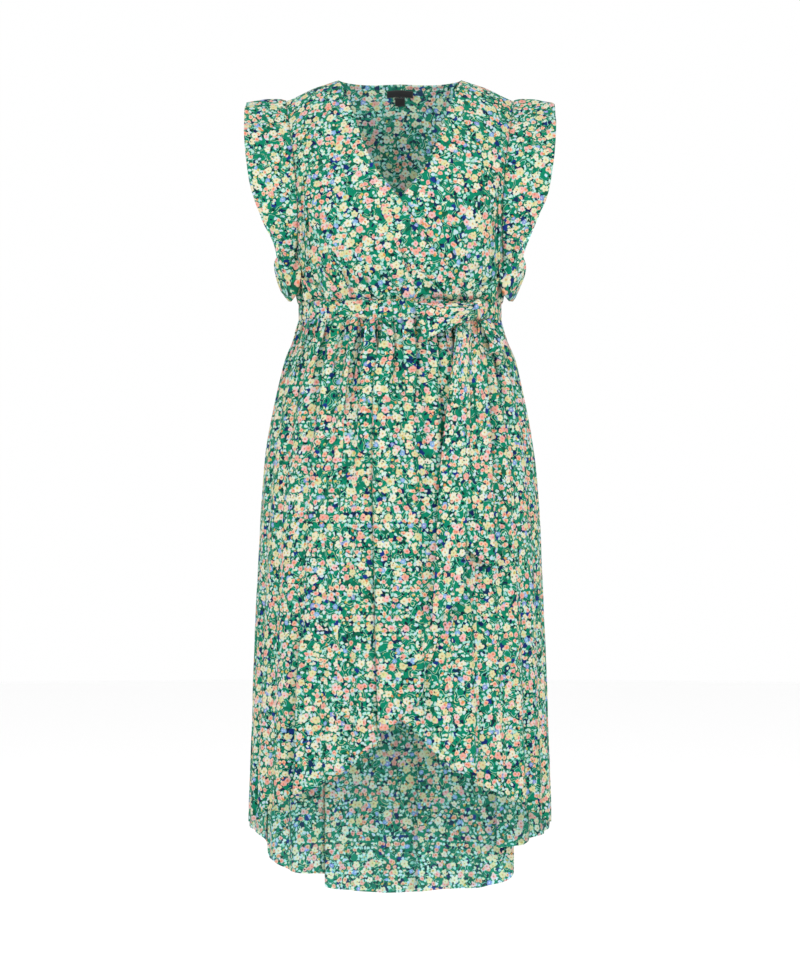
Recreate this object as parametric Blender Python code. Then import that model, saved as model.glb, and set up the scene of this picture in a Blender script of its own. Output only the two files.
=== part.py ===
"""A wrap dress in printed viscose, worn: hollow, with its neck, armholes and hem open.

Metres, +Z up. The front faces -Y and +X is the wearer's left. The origin lies midway between the shoulders.
An angle is measured round the body in degrees: 0 at the centre front, +90 at the wearer's left side seam and
180 at the centre back.
"""

import math
from collections import namedtuple

import bmesh
import bpy
from mathutils import Vector

# ---- Driving sizes -------------------------------------------------------------------------------
WALL = 0.0015  # cloth, with its turnings
SEAM = 0.0003  # gap between pieces where they are sewn
WAIST_TOP = -0.343  # the seam between bodice and waistband
WAIST_BOTTOM = -0.373  # the seam between waistband and skirt
ROUNDNESS = 2.3  # 2 is an ellipse, more is squarer
WRAP_DROP = 0.0042  # how far the under front lies inside the outer one
HIDDEN_DROP = 0.0060  # how much further in the bodice's hidden part lies
COVER_MARGIN = 6.0  # degrees past the outer edge for which it stays in
WRAP_BLEND = 24.0  # degrees over which it then comes out again
HIDDEN_BLEND = 14.0  # degrees over which the hidden part goes further in

NECK_HALF_WIDTH = 0.1007
SHOULDER_APEX = 0.058  # height at which the two shoulder lines would meet
SHOULDER_SLOPE = 0.333
SHOULDER_ROUND = 0.03
SHOULDER_FADE = 0.14  # depth over which the slope fades into level rings
SHOULDER_DOME = 0.09  # depth over which the chest curves back to the shoulder seam
BACK_NECK_DROP = 0.019
BACK_NECK_BLEND = 0.075  # depth over which the back's upper rows close up to make room for it

ARMHOLE_DEPTH = 0.29
ARMHOLE_INSET = 30.0  # degrees that the armhole is cut in, on the front and on the back

Ring = namedtuple("Ring", "level half_width front back")
BODICE_RINGS = (
    Ring(0.000, 0.1870, 0.075, 0.070),
    Ring(-0.030, 0.1950, 0.083, 0.082),
    Ring(-0.070, 0.2020, 0.098, 0.098),
    Ring(-0.110, 0.2050, 0.118, 0.110),
    Ring(-0.150, 0.2030, 0.137, 0.118),
    Ring(-0.200, 0.1930, 0.152, 0.124),
    Ring(-0.250, 0.1790, 0.156, 0.125),
    Ring(-0.290, 0.1720, 0.151, 0.126),
    Ring(-0.315, 0.1700, 0.144, 0.127),
    Ring(-0.330, 0.1685, 0.136, 0.126),
    Ring(-0.339, 0.1655, 0.126, 0.1215),
    Ring(-0.343, 0.1650, 0.125, 0.1205),
)
# fmt: off
BODICE_LEVELS = (
    0, -0.005, -0.018, -0.040, -0.075, -0.120, -0.170, -0.220, -0.262, -0.290, -0.315, -0.330, -0.339, -0.343,
)
# fmt: on

SKIRT_RINGS = (
    Ring(-0.373, 0.1650, 0.125, 0.1205),
    Ring(-0.378, 0.1652, 0.1253, 0.121),
    Ring(-0.404, 0.1720, 0.132, 0.130),
    Ring(-0.437, 0.1850, 0.142, 0.143),
    Ring(-0.503, 0.2025, 0.155, 0.160),
    Ring(-0.602, 0.2200, 0.167, 0.174),
    Ring(-0.750, 0.2305, 0.178, 0.181),
    Ring(-0.998, 0.2400, 0.190, 0.186),
    Ring(-1.163, 0.2460, 0.196, 0.192),
    Ring(-1.350, 0.2460, 0.198, 0.198),
)
# fmt: off
SKIRT_LEVELS = (
    -0.373, -0.378, -0.402, -0.445, -0.520, -0.630, -0.760, -0.900, -1.030, -1.130, -1.220, -1.300, -1.400,
)
# fmt: on
HEM_SNAP = 0.012  # a level nearer than this to the hem is moved down to it

# The edge of a front panel, from the waist down the wrap and round the tulip hem to the side seam. Angles
# count from the centre front towards the panel's own side, so they are negative where it crosses over.
Edge = namedtuple("Edge", "angle level")
FRONT_EDGE = (
    Edge(-46.0, -0.355),
    Edge(-42.0, -0.373),
    Edge(-37.0, -0.420),
    Edge(-30.0, -0.530),
    Edge(-26.0, -0.650),
    Edge(-23.5, -0.760),
    Edge(-17.6, -0.840),
    Edge(-12.0, -0.920),
    Edge(-7.0, -0.984),
    Edge(0.0, -1.013),
    Edge(6.5, -1.038),
    Edge(16.0, -1.081),
    Edge(24.0, -1.105),
    Edge(32.0, -1.124),
    Edge(50.0, -1.156),
    Edge(70.0, -1.188),
    Edge(90.0, -1.198),
)
BACK_EDGE = (
    Edge(90.0, -1.198),
    Edge(108.0, -1.230),
    Edge(120.0, -1.262),
    Edge(131.0, -1.299),
    Edge(148.0, -1.333),
    Edge(165.0, -1.344),
    Edge(180.0, -1.347),
)

# The neck and wrap edge of a bodice front, from the shoulder to the waist. x is on the panel's own side, and
# negative where it crosses over.
NeckPoint = namedtuple("NeckPoint", "level x")
FRONT_NECK = (
    NeckPoint(0.000, NECK_HALF_WIDTH),
    NeckPoint(-0.0544, 0.0765),
    NeckPoint(-0.1106, 0.0532),
    NeckPoint(-0.1478, 0.0273),
    NeckPoint(-0.1840, 0.0),
    NeckPoint(-0.2640, -0.0560),
    NeckPoint(-0.3430, -0.1126),
)

# A skirt fold is a crease with a soft ridge on each side of it. Angles are at the waist and the hem, and depths
# (mm) at the waist, half way and the hem.
Fold = namedtuple("Fold", "top_angle hem_angle top_depth mid_depth hem_depth")
FRONT_FOLDS = (
    Fold(-90.0, -90.0, 3, 1.5, 3),
    Fold(-78.0, -80.0, 5, 1.5, 5),
    Fold(-65.5, -68.0, 6, 2.5, 8),
    Fold(-52.5, -55.5, 5, 2, 3),
    Fold(-39.5, -42.0, 9, 4, 8),
    Fold(-30.0, -31.0, 6, 2, 3),
    Fold(-21.0, -20.0, 9, 3, 6),
    Fold(-12.6, -7.0, 9, 9, 10),
    Fold(-2.5, 2.5, 6, 2, 3),
    Fold(8.5, 11.0, 7, 6, 6),
    Fold(19.5, 21.0, 6, 2, 4),
    Fold(30.0, 31.0, 7, 5, 7),
    Fold(41.0, 42.5, 8, 3, 3),
    Fold(53.0, 55.0, 6, 2, 8),
    Fold(65.5, 67.5, 6, 3, 4),
    Fold(78.0, 79.5, 5, 1.5, 6),
    Fold(90.0, 90.0, 3, 1.5, 3),
)
BACK_FOLDS = (
    Fold(90.0, 90.0, 3, 1.5, 3),
    Fold(104.2, 104.2, 8.5, 4.2, 2.6),
    Fold(118.7, 118.7, 6.4, 2.1, 6.2),
    Fold(132.8, 132.8, 5.8, 1.5, 11.7),
    Fold(146.0, 146.0, 8.1, 3.8, 3.3),
    Fold(158.6, 158.6, 7.8, 3.5, 3.7),
    Fold(171.2, 171.2, 5.6, 1.3, 7.2),
    Fold(184.8, 184.8, 6.7, 2.4, 5.4),
    Fold(199.4, 199.4, 8.5, 4.2, 2.9),
    Fold(214.5, 214.5, 6.7, 2.4, 9.4),
    Fold(229.3, 229.3, 5.6, 1.3, 7.2),
    Fold(243.3, 243.3, 7.9, 3.6, 3.6),
    Fold(256.6, 256.6, 8.0, 3.7, 3.3),
    Fold(270.0, 270.0, 3, 1.5, 3),
)
COLUMNS_PER_FOLD = 4
RIDGE_SHARE = 0.45  # the height of a ridge, as a share of the depth of its crease
SEAM_GATHER_SHARE = 0.3  # the depth left at the waist seam
FOLD_TOP = -0.402  # the levels at which a fold has its three depths
FOLD_MIDDLE = -0.70
FOLD_HEM = -1.15

BODICE_COLUMNS = 24
BACK_COLUMNS = 30
WAIST_GATHERS = 6
WAIST_GATHER_HEIGHT = 0.0042
WAIST_GATHER_REACH = 0.085
WAIST_GATHER_HOLD = 0.010  # height over which the seam holds the gathers in
WAIST_GATHER_HELD = 0.2  # the share of their height left at the seam
EDGE_FADE = 0.125  # the share of a panel's width over which its relief fades at an edge

# A drag fold on a bodice front is a soft trough between two points. x is on the panel's own side.
Drag = namedtuple("Drag", "x0 level0 x1 level1 depth width")
DRAG_FOLDS = (
    Drag(-0.100, -0.330, 0.070, -0.240, 0.0055, 0.014),
    Drag(-0.090, -0.345, 0.110, -0.290, 0.0045, 0.013),
    Drag(-0.070, -0.280, 0.085, -0.195, 0.0040, 0.015),
)

# The free edge of a sleeve, round from the top of the shoulder: front, underarm, then back.
SleevePoint = namedtuple("SleevePoint", "turn x y z")
SLEEVE_EDGE = (
    SleevePoint(0.00, 0.2530, 0.004, -0.0130),
    SleevePoint(0.07, 0.2545, -0.034, -0.0300),
    SleevePoint(0.15, 0.2540, -0.064, -0.0700),
    SleevePoint(0.23, 0.2490, -0.083, -0.1200),
    SleevePoint(0.31, 0.2390, -0.090, -0.1720),
    SleevePoint(0.38, 0.2220, -0.086, -0.2190),
    SleevePoint(0.43, 0.2020, -0.074, -0.2560),
    SleevePoint(0.47, 0.2060, -0.050, -0.2880),
    SleevePoint(0.51, 0.1970, -0.022, -0.3240),
    SleevePoint(0.55, 0.1870, 0.010, -0.3370),
    SleevePoint(0.59, 0.1890, 0.042, -0.3260),
    SleevePoint(0.64, 0.2030, 0.066, -0.2900),
    SleevePoint(0.70, 0.2210, 0.084, -0.2390),
    SleevePoint(0.77, 0.2370, 0.092, -0.1820),
    SleevePoint(0.84, 0.2480, 0.088, -0.1220),
    SleevePoint(0.91, 0.2540, 0.068, -0.0640),
    SleevePoint(0.97, 0.2545, 0.034, -0.0240),
)
SLEEVE_COLUMNS = 42
SLEEVE_ROWS = (0.0, 0.14, 0.38, 0.68, 1.0)
SLEEVE_WAVES = 12
SLEEVE_WAVE_HEIGHT = 0.0045
SLEEVE_WAVE_WANDER = 0.22  # how unevenly the waves lie round the edge
SLEEVE_START = 0.0032  # clear of the armhole's edge
SLEEVE_CENTRE = -0.15  # the height of the arm's centre line in the sleeve
# How far a sleeve swells out and up between armhole and edge: all round, and more at the underarm.
SLEEVE_SWELL = Vector((0.006, 0, 0.003))
SLEEVE_LOW_SWELL = Vector((0.006, 0, 0.006))
SLEEVE_LOW_RISE = 0.0012  # its start is raised by this at the underarm

BAND_WALL = 0.0020
BAND_WRAP_END = 47.0  # degrees past the centre at which the outer waistband ends, behind the knot
UNDER_BAND_END = -42.0

KNOT_ANGLE = 44.0
KNOT_LEVEL = -0.3585
KNOT_SIZE = (0.0290, 0.0200, 0.0350)  # along the band, outwards, and upright
KNOT_GAP = 0.0003  # between knot and waistband
KNOT_SQUARENESS = 0.75
KNOT_CREASE = 0.07  # depth of its three creases, as a share of its radius
TIE_GAP = 0.0006  # between knot and loop
TIE_WALL = 0.0015
LOOP_STEPS = 14
LOOP_SWELL = 0.004  # how much further a loop's two halves stand apart between knot and end
LOOP_GATHERED = 0.0040  # how far apart its two ends are, where the knot holds them
LOOP_CURL = 0.001  # how far its strip curls across
TAIL_SWAY = 0.0012

# A loop of the bow leaves the knot at an angle below the horizontal, on one side.
Loop = namedtuple("Loop", "name side fall reach width_at_knot width_at_end stand_off")
LOOPS = (
    Loop("tie_loop_inner", -1, 9.0, 0.080, 0.026, 0.060, 0.0130),
    Loop("tie_loop_outer", 1, 58.0, 0.046, 0.018, 0.040, 0.0158),
)

# A tail starts this far below the lowest point of the knot, or above it where the knot's underside curves up.
Tail = namedtuple("Tail", "name x_top x_end level_end width_top width_end stand_off slant below")
TAILS = (
    Tail("tie_tail_long", 0.1058, 0.0700, -0.842, 0.021, 0.046, 0.0072, 0.020, -0.0014),
    Tail("tie_tail_short", 0.1275, 0.1400, -0.760, 0.021, 0.044, 0.0080, -0.016, -0.0009),
)
TAIL_ROWS = 12
TAIL_COLUMNS = 4

LABEL_WALL = 0.0006
LABEL_GAP = 0.0014  # between label and back neck
LABEL_SPACING = 0.0008  # between the two labels
LABEL_LEVEL = -0.0240  # of its upper edge
LABEL_STEEPNESS = 0.75  # the share of its height that a label here comes down
NECK_LABEL = (0.044, 0.0105)
SIZE_LABEL = (0.0165, 0.0130)

Finish = namedtuple("Finish", "name colour roughness")
PRINT = Finish("printed_viscose", (0.16, 0.42, 0.30), 0.85)
LABEL = Finish("black_label", (0.012, 0.011, 0.013), 0.6)


# ---- Interpolation -------------------------------------------------------------------------------
def smooth(table, at, field):
    """The field of a table at a value of its first column, on a smooth curve through the rows."""
    rows = sorted(table)
    if at <= rows[0][0]:
        return getattr(rows[0], field)
    if at >= rows[-1][0]:
        return getattr(rows[-1], field)
    k = next(i for i in range(len(rows) - 1) if at <= rows[i + 1][0])

    def slope(i):
        before, after = rows[max(i - 1, 0)], rows[min(i + 1, len(rows) - 1)]
        return (getattr(after, field) - getattr(before, field)) / (after[0] - before[0])

    span = rows[k + 1][0] - rows[k][0]
    t = (at - rows[k][0]) / span
    start, end = getattr(rows[k], field), getattr(rows[k + 1], field)
    rise = (2 * t**3 - 3 * t**2 + 1) * start + (3 * t**2 - 2 * t**3) * end
    return rise + span * ((t**3 - 2 * t**2 + t) * slope(k) + (t**3 - t**2) * slope(k + 1))


def straight(table, at, field):
    """The same on straight lines between the rows."""
    rows = sorted(table)
    if at <= rows[0][0]:
        return getattr(rows[0], field)
    for low, high in zip(rows, rows[1:]):
        if at <= high[0]:
            t = (at - low[0]) / (high[0] - low[0])
            return (1 - t) * getattr(low, field) + t * getattr(high, field)
    return getattr(rows[-1], field)


def ease(t):
    t = min(max(t, 0.0), 1.0)
    return t * t * (3 - 2 * t)


# ---- The body's surface --------------------------------------------------------------------------
def ring_point(rings, angle, level, out=0.0, dome=1.0):
    """A point of the ring at this level, moved out from the body."""
    sine, cosine = math.sin(math.radians(angle)), math.cos(math.radians(angle))
    swell = (abs(sine) ** ROUNDNESS + abs(cosine) ** ROUNDNESS) ** (-1 / ROUNDNESS)
    depth = smooth(rings, level, "front" if cosine > 0 else "back") * dome
    x = smooth(rings, level, "half_width") * sine * swell
    y = -depth * cosine * swell
    outward = Vector((sine, -cosine, 0)).normalized()
    return Vector((x, y, level)) + out * outward


def bodice_point(angle, level, out=0.0):
    """A point of the bodice: its rings close over the shoulders, which slope."""
    depth = min(-level, SHOULDER_DOME) / SHOULDER_DOME
    dome = math.sqrt(max(0.0, 1 - (1 - depth) ** 2))
    point = ring_point(BODICE_RINGS, angle, level, out, dome)
    shoulder = SHOULDER_APEX - SHOULDER_SLOPE * math.hypot(point.x, SHOULDER_ROUND)
    point.z += max(0.0, 1 + level / SHOULDER_FADE) * shoulder
    return point


def bodice_angle(level, x):
    """The angle on the front at which a bodice ring has this x."""
    low, high = -90.0, 90.0
    for _ in range(40):
        middle = (low + high) / 2
        low, high = (middle, high) if bodice_point(middle, level).x < x else (low, middle)
    return (low + high) / 2


def surface_normal(point_at, angle, level):
    """The outward normal of a surface given by angle and level."""
    here = point_at(angle, level)
    across = point_at(angle + 0.5, level) - here
    down = point_at(angle, level - 0.001) - here
    normal = across.cross(down).normalized()
    return normal if normal.dot(Vector((here.x, here.y, 0))) > 0 else -normal


def armhole_angle(level):
    """Where a front ends at its own side: the side seam, or the armhole's edge."""
    if level < -ARMHOLE_DEPTH:
        return 90.0
    turn = math.acos(1 + 2 * level / ARMHOLE_DEPTH)
    return 90.0 - ARMHOLE_INSET * math.sin(turn)


def wrap_angle(level):
    """How far past the centre front the outer panel's edge lies, bodice and skirt alike."""
    if level > WAIST_TOP:
        return -bodice_angle(level, straight(FRONT_NECK, level, "x"))
    low, high = -46.0, 90.0
    for _ in range(40):
        middle = (low + high) / 2
        low, high = (middle, high) if smooth(FRONT_EDGE, middle, "level") > level else (low, middle)
    return -low


def under_drop(angle, level):
    """How far the under front lies in, at an angle that is positive on its own side."""
    return -WRAP_DROP * ease((wrap_angle(level) + COVER_MARGIN + WRAP_BLEND - angle) / WRAP_BLEND)


# ---- Building cloth ------------------------------------------------------------------------------
def finish_material(finish):
    found = bpy.data.materials.get(finish.name)
    if found:
        return found
    material = bpy.data.materials.new(finish.name)
    material.use_nodes = True
    shader = material.node_tree.nodes["Principled BSDF"]
    shader.inputs["Base Color"].default_value = (*finish.colour, 1)
    shader.inputs["Roughness"].default_value = finish.roughness
    shader.inputs["Metallic"].default_value = 0
    return material


def add_object(name, mesh_builder, finish):
    mesh = bpy.data.meshes.new(name)
    mesh_builder.to_mesh(mesh)
    mesh_builder.free()
    mesh.materials.append(finish_material(finish))
    mesh.shade_smooth()
    thing = bpy.data.objects.new(name, mesh)
    bpy.context.scene.collection.objects.link(thing)
    return thing


def thicken(builder, wall):
    """Adds an outer skin one wall away from a sheet, and joins the two along its free edges.

    The side and shoulder seams lie in the plane y = 0, and the waist seams are level, so what ends at one is
    thickened within its plane.
    """
    sheet = list(builder.faces)
    free = [edge for edge in builder.edges if edge.is_boundary]
    outer = {}
    for vert in list(builder.verts):
        normal = vert.normal.copy()
        if vert.is_boundary and abs(vert.co.y) < SEAM:
            normal.y = 0
        if vert.is_boundary and min(abs(vert.co.z - WAIST_TOP), abs(vert.co.z - WAIST_BOTTOM)) < 2 * SEAM:
            normal.z = 0
        outer[vert] = builder.verts.new(vert.co + normal.normalized() * wall)
    for edge in free:
        loop_here = edge.link_loops[0]
        first, second = loop_here.vert, loop_here.link_loop_next.vert
        builder.faces.new((first, second, outer[second], outer[first]))
    for face in sheet:
        builder.faces.new([outer[vert] for vert in face.verts])
    bmesh.ops.reverse_faces(builder, faces=sheet)
    rim = [face for face in builder.faces if len(face.verts) > 3]
    bmesh.ops.triangulate(builder, faces=rim)


def cloth(name, grid, wall=WALL, closed=False, away_from=None, seam_side=0, finish=PRINT):
    """A wall of cloth through a grid of points, given by rows. It thickens away from a centre line.

    seam_side is -1 on a front and 1 on a back, which stops half a seam short of the plane of the side seams.
    """
    builder = bmesh.new()
    rows = [[builder.verts.new(point) for point in row] for row in grid]
    columns = len(grid[0])
    for upper, lower in zip(rows, rows[1:]):
        for k in range(columns if closed else columns - 1):
            after = (k + 1) % columns
            builder.faces.new((upper[k], lower[k], lower[after], upper[after]))
    bmesh.ops.remove_doubles(builder, verts=builder.verts, dist=0.00002)
    for vert in builder.verts:
        if vert.is_boundary and abs(vert.co.y) < SEAM / 2:
            vert.co.y = seam_side * SEAM / 2
    bmesh.ops.triangulate(builder, faces=builder.faces)
    builder.normal_update()
    outward = away_from or (lambda centre: Vector((centre.x, centre.y, 0)))
    facing = sum(
        face.normal.dot(outward(face.calc_center_median())) * face.calc_area() for face in builder.faces
    )
    if facing < 0:
        bmesh.ops.reverse_faces(builder, faces=builder.faces)
    thicken(builder, wall)
    return add_object(name, builder, finish)


# ---- Bodice --------------------------------------------------------------------------------------
def drag_relief(own_x, level):
    """Drag folds as soft troughs along their lines, fading at both ends."""
    total = 0.0
    for fold in DRAG_FOLDS:
        run = Vector((fold.x1 - fold.x0, fold.level1 - fold.level0))
        offset = Vector((own_x - fold.x0, level - fold.level0))
        along = offset.dot(run) / run.length_squared
        across = (offset - along * run).length
        if 0 < along < 1:
            total -= fold.depth * math.sin(math.pi * along) * math.exp(-((across / fold.width) ** 2))
    return total


def gather_relief(share, level, count):
    """Gathers sewn into the waist seam, which fade upwards, and blouse a little over it."""
    fade = ease(1 - (level - WAIST_TOP) / WAIST_GATHER_REACH)
    held = WAIST_GATHER_HELD + (1 - WAIST_GATHER_HELD) * ease((level - WAIST_TOP) / WAIST_GATHER_HOLD)
    return -WAIST_GATHER_HEIGHT * math.cos(2 * math.pi * share * count) * fade * held


def bodice_front(name, side, under):
    """A bodice front, from armhole and side seam to neck and wrap edge. side is +1 on the wearer's left."""
    grid = []
    for level in BODICE_LEVELS:
        start = armhole_angle(level)
        end = bodice_angle(level, straight(FRONT_NECK, level, "x"))
        row = []
        for k in range(BODICE_COLUMNS + 1):
            share = k / BODICE_COLUMNS
            angle = start + share * (end - start)
            out = gather_relief(share, level, WAIST_GATHERS) * ease(share / EDGE_FADE)
            if under:
                covered = wrap_angle(level) + COVER_MARGIN - angle
                out = out * ease(-covered / WRAP_BLEND) + under_drop(angle, level)
                out -= HIDDEN_DROP * ease((covered - COVER_MARGIN) / HIDDEN_BLEND)
            else:
                out += drag_relief(bodice_point(angle, level).x, level)
                out *= ease((1 - share) / EDGE_FADE)
            row.append(bodice_point(side * angle, level, out))
        grid.append(row)
    return cloth(name, grid, seam_side=-1)


def bodice_back():
    """The back, from armhole to armhole, with the neck cut a little below the shoulders."""
    grid = []
    for level in BODICE_LEVELS:
        reach = armhole_angle(level)
        row = []
        for k in range(BACK_COLUMNS + 1):
            share = 2 * k / BACK_COLUMNS - 1
            angle = 180 + share * reach
            across = bodice_point(angle, level).x / NECK_HALF_WIDTH
            drop = BACK_NECK_DROP * max(0.0, 1 - across**2)
            lowered = level - drop * max(0.0, 1 + level / BACK_NECK_BLEND)
            inside = ease((1 - abs(share)) / EDGE_FADE / 2)
            out = gather_relief(share, level, WAIST_GATHERS) * inside
            row.append(bodice_point(angle, lowered, out))
        grid.append(row)
    return cloth("bodice_back", grid, seam_side=1)


# ---- Waistband -----------------------------------------------------------------------------------
def waistband(name, start, end, steps, drop=None):
    levels = (WAIST_TOP - SEAM, WAIST_BOTTOM + SEAM)
    grid = []
    for level in levels:
        row = []
        for k in range(steps + 1):
            angle = start + (end - start) * k / steps
            out = drop(angle, level) if drop else 0.0
            row.append(ring_point(SKIRT_RINGS, angle, min(level, WAIST_BOTTOM), out))
            row[-1].z = level
        grid.append(row)
    return cloth(name, grid, wall=BAND_WALL, seam_side=1 if "back" in name else -1)


# ---- Skirt ---------------------------------------------------------------------------------------
def fold_value(level, top, middle, hem):
    """A value of a fold at this level, from those at the waist, half way and the hem."""
    if level > FOLD_TOP:
        opened = ease((WAIST_BOTTOM - level) / (WAIST_BOTTOM - FOLD_TOP))
        return top * (SEAM_GATHER_SHARE + (1 - SEAM_GATHER_SHARE) * opened)
    if level > FOLD_MIDDLE:
        return top + (middle - top) * ease((FOLD_TOP - level) / (FOLD_TOP - FOLD_MIDDLE))
    return middle + (hem - middle) * ease((FOLD_MIDDLE - level) / (FOLD_MIDDLE - FOLD_HEM))


def skirt_angle(folds, column, level):
    """The angle of a column at this level. Columns follow the folds, COLUMNS_PER_FOLD to each."""
    k, part = divmod(column, COLUMNS_PER_FOLD)
    down = min(max((WAIST_BOTTOM - level) / (WAIST_BOTTOM - FOLD_HEM), 0.0), 1.0)
    first, second = folds[k], folds[min(k + 1, len(folds) - 1)]
    angles = [fold.top_angle + (fold.hem_angle - fold.top_angle) * down for fold in (first, second)]
    return angles[0] + (angles[1] - angles[0]) * part / COLUMNS_PER_FOLD


def skirt_relief(folds, column, level):
    """How far a column stands out (a ridge) or in (a crease) at this level."""
    k, part = divmod(column, COLUMNS_PER_FOLD)
    first, second = folds[k], folds[min(k + 1, len(folds) - 1)]
    depths = [
        fold_value(level, fold.top_depth, fold.mid_depth, fold.hem_depth) / 1000
        for fold in (first, second)
    ]
    share = part / COLUMNS_PER_FOLD
    depth = depths[0] + (depths[1] - depths[0]) * share
    crease = (1 + math.cos(2 * math.pi * share)) / 2
    return RIDGE_SHARE * depth * (1 - crease) - depth * crease


def skirt_hem(folds, column, edge_level):
    """The level at which a column meets the panel's edge."""
    high, low = WAIST_BOTTOM, SKIRT_LEVELS[-1]
    if edge_level(skirt_angle(folds, column, high)) >= high:
        return high
    for _ in range(40):
        middle = (high + low) / 2
        inside = middle > edge_level(skirt_angle(folds, column, middle))
        high, low = (middle, low) if inside else (high, middle)
    return (high + low) / 2


def skirt_panel(name, folds, columns, edge_level, drop=None):
    """A skirt panel: its columns run down the folds, and stop at its edge."""
    hems = [skirt_hem(folds, column, edge_level) for column in columns]
    grid = []
    for row_level in SKIRT_LEVELS:
        row = []
        for column, hem in zip(columns, hems):
            level = hem if row_level < hem + HEM_SNAP else row_level
            angle = skirt_angle(folds, column, level)
            out = skirt_relief(folds, column, level)
            if drop:
                out += drop(angle, level)
            row.append(ring_point(SKIRT_RINGS, angle, level, out))
        grid.append(row)
    return cloth(name, grid, seam_side=1 if "back" in name else -1)


def skirt():
    """The two fronts, each to the first column past its wrap edge at the waist, and the back."""
    last = (len(FRONT_FOLDS) - 1) * COLUMNS_PER_FOLD
    at_waist = [skirt_angle(FRONT_FOLDS, column, WAIST_BOTTOM) for column in range(last + 1)]
    reach = wrap_angle(WAIST_BOTTOM)
    outer = range(0, min(k for k, angle in enumerate(at_waist) if angle > reach) + 1)
    under = range(max(k for k, angle in enumerate(at_waist) if angle < -reach), last + 1)
    skirt_panel("skirt_front_outer", FRONT_FOLDS, outer, lambda angle: smooth(FRONT_EDGE, -angle, "level"))
    skirt_panel(
        "skirt_front_under", FRONT_FOLDS, under, lambda angle: smooth(FRONT_EDGE, angle, "level"), under_drop
    )
    every = range(0, (len(BACK_FOLDS) - 1) * COLUMNS_PER_FOLD + 1)
    skirt_panel(
        "skirt_back", BACK_FOLDS, every, lambda angle: smooth(BACK_EDGE, 180 - abs(180 - angle), "level")
    )


# ---- Sleeves -------------------------------------------------------------------------------------
def sleeve_edge(turn):
    """The free edge on a smooth closed curve through its points."""
    before = [p._replace(turn=p.turn - 1) for p in SLEEVE_EDGE[-3:]]
    after = [p._replace(turn=p.turn + 1) for p in SLEEVE_EDGE[:3]]
    table = before + list(SLEEVE_EDGE) + after
    return Vector([smooth(table, turn, field) for field in ("x", "y", "z")])


def armhole_edge(turn):
    """The armhole's edge on the wearer's left: front from 0 to 0.5, back from 0.5 to 1."""
    level = -ARMHOLE_DEPTH * (1 - math.cos(2 * math.pi * turn)) / 2
    angle = armhole_angle(level)
    return bodice_point(angle if turn <= 0.5 else 180 - angle, level)


def sleeve(name, side, phase):
    """A flutter sleeve, flared from the armhole to a free edge with soft waves."""
    grid = []
    for share in SLEEVE_ROWS:
        row = []
        for k in range(SLEEVE_COLUMNS):
            turn = k / SLEEVE_COLUMNS
            seam, free = armhole_edge(turn), sleeve_edge(turn)
            low = ((1 - math.cos(2 * math.pi * turn)) / 2) ** 3
            lift = SLEEVE_SWELL + low * SLEEVE_LOW_SWELL
            start = seam + (free - seam + 8 * lift).normalized() * SLEEVE_START
            start.z += SLEEVE_LOW_RISE * low
            point = start.lerp(free, share) + lift * math.sin(math.pi * share**0.7)
            centre = Vector((point.x, 0.0, SLEEVE_CENTRE))
            outward = (point - centre).normalized()
            strength = share**1.3 * (1 - 0.55 * low)
            wander = phase + SLEEVE_WAVE_WANDER * math.sin(4 * math.pi * turn)
            wave = math.cos(2 * math.pi * (SLEEVE_WAVES * turn + wander))
            point += outward * SLEEVE_WAVE_HEIGHT * strength * wave
            row.append(Vector((side * point.x, point.y, point.z)))
        grid.append(row)

    def outward(centre):
        return Vector((0.35 * (centre.x - side * 0.16), centre.y, centre.z - SLEEVE_CENTRE))

    return cloth(name, grid, closed=True, away_from=outward)


# ---- Tie -----------------------------------------------------------------------------------------
def front_angle(level, x):
    """The angle on the front of the skirt at which its smooth ring has this x."""
    low, high = -90.0, 90.0
    for _ in range(30):
        middle = (low + high) / 2
        low, high = (middle, high) if ring_point(SKIRT_RINGS, middle, level).x < x else (low, middle)
    return (low + high) / 2


def on_front(x, level, out):
    """A point over the smooth front at this x and level."""
    base = min(level, WAIST_BOTTOM)
    point = ring_point(SKIRT_RINGS, front_angle(base, x), base, out)
    point.z = level
    return point


def knot():
    builder = bmesh.new()
    bmesh.ops.create_uvsphere(builder, u_segments=14, v_segments=8, radius=0.5)
    centre = ring_point(SKIRT_RINGS, KNOT_ANGLE, WAIST_BOTTOM, BAND_WALL + KNOT_GAP + KNOT_SIZE[1] / 2)
    centre.z = KNOT_LEVEL
    tilt = math.radians(KNOT_ANGLE)
    along = Vector((math.cos(tilt), math.sin(tilt), 0))
    outward = Vector((math.sin(tilt), -math.cos(tilt), 0))
    for vert in builder.verts:
        squared = [math.copysign(abs(2 * value) ** KNOT_SQUARENESS / 2, value) for value in vert.co]
        crease = 1 - KNOT_CREASE * abs(math.sin(3 * math.atan2(squared[2], squared[1]) + 0.6))
        vert.co = (
            centre
            + along * squared[0] * KNOT_SIZE[0] * crease
            + outward * squared[1] * KNOT_SIZE[1] * crease
            + Vector((0, 0, squared[2] * KNOT_SIZE[2] * crease))
        )
    bmesh.ops.reverse_faces(builder, faces=builder.faces)
    return add_object("tie_knot", builder, PRINT)


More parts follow.
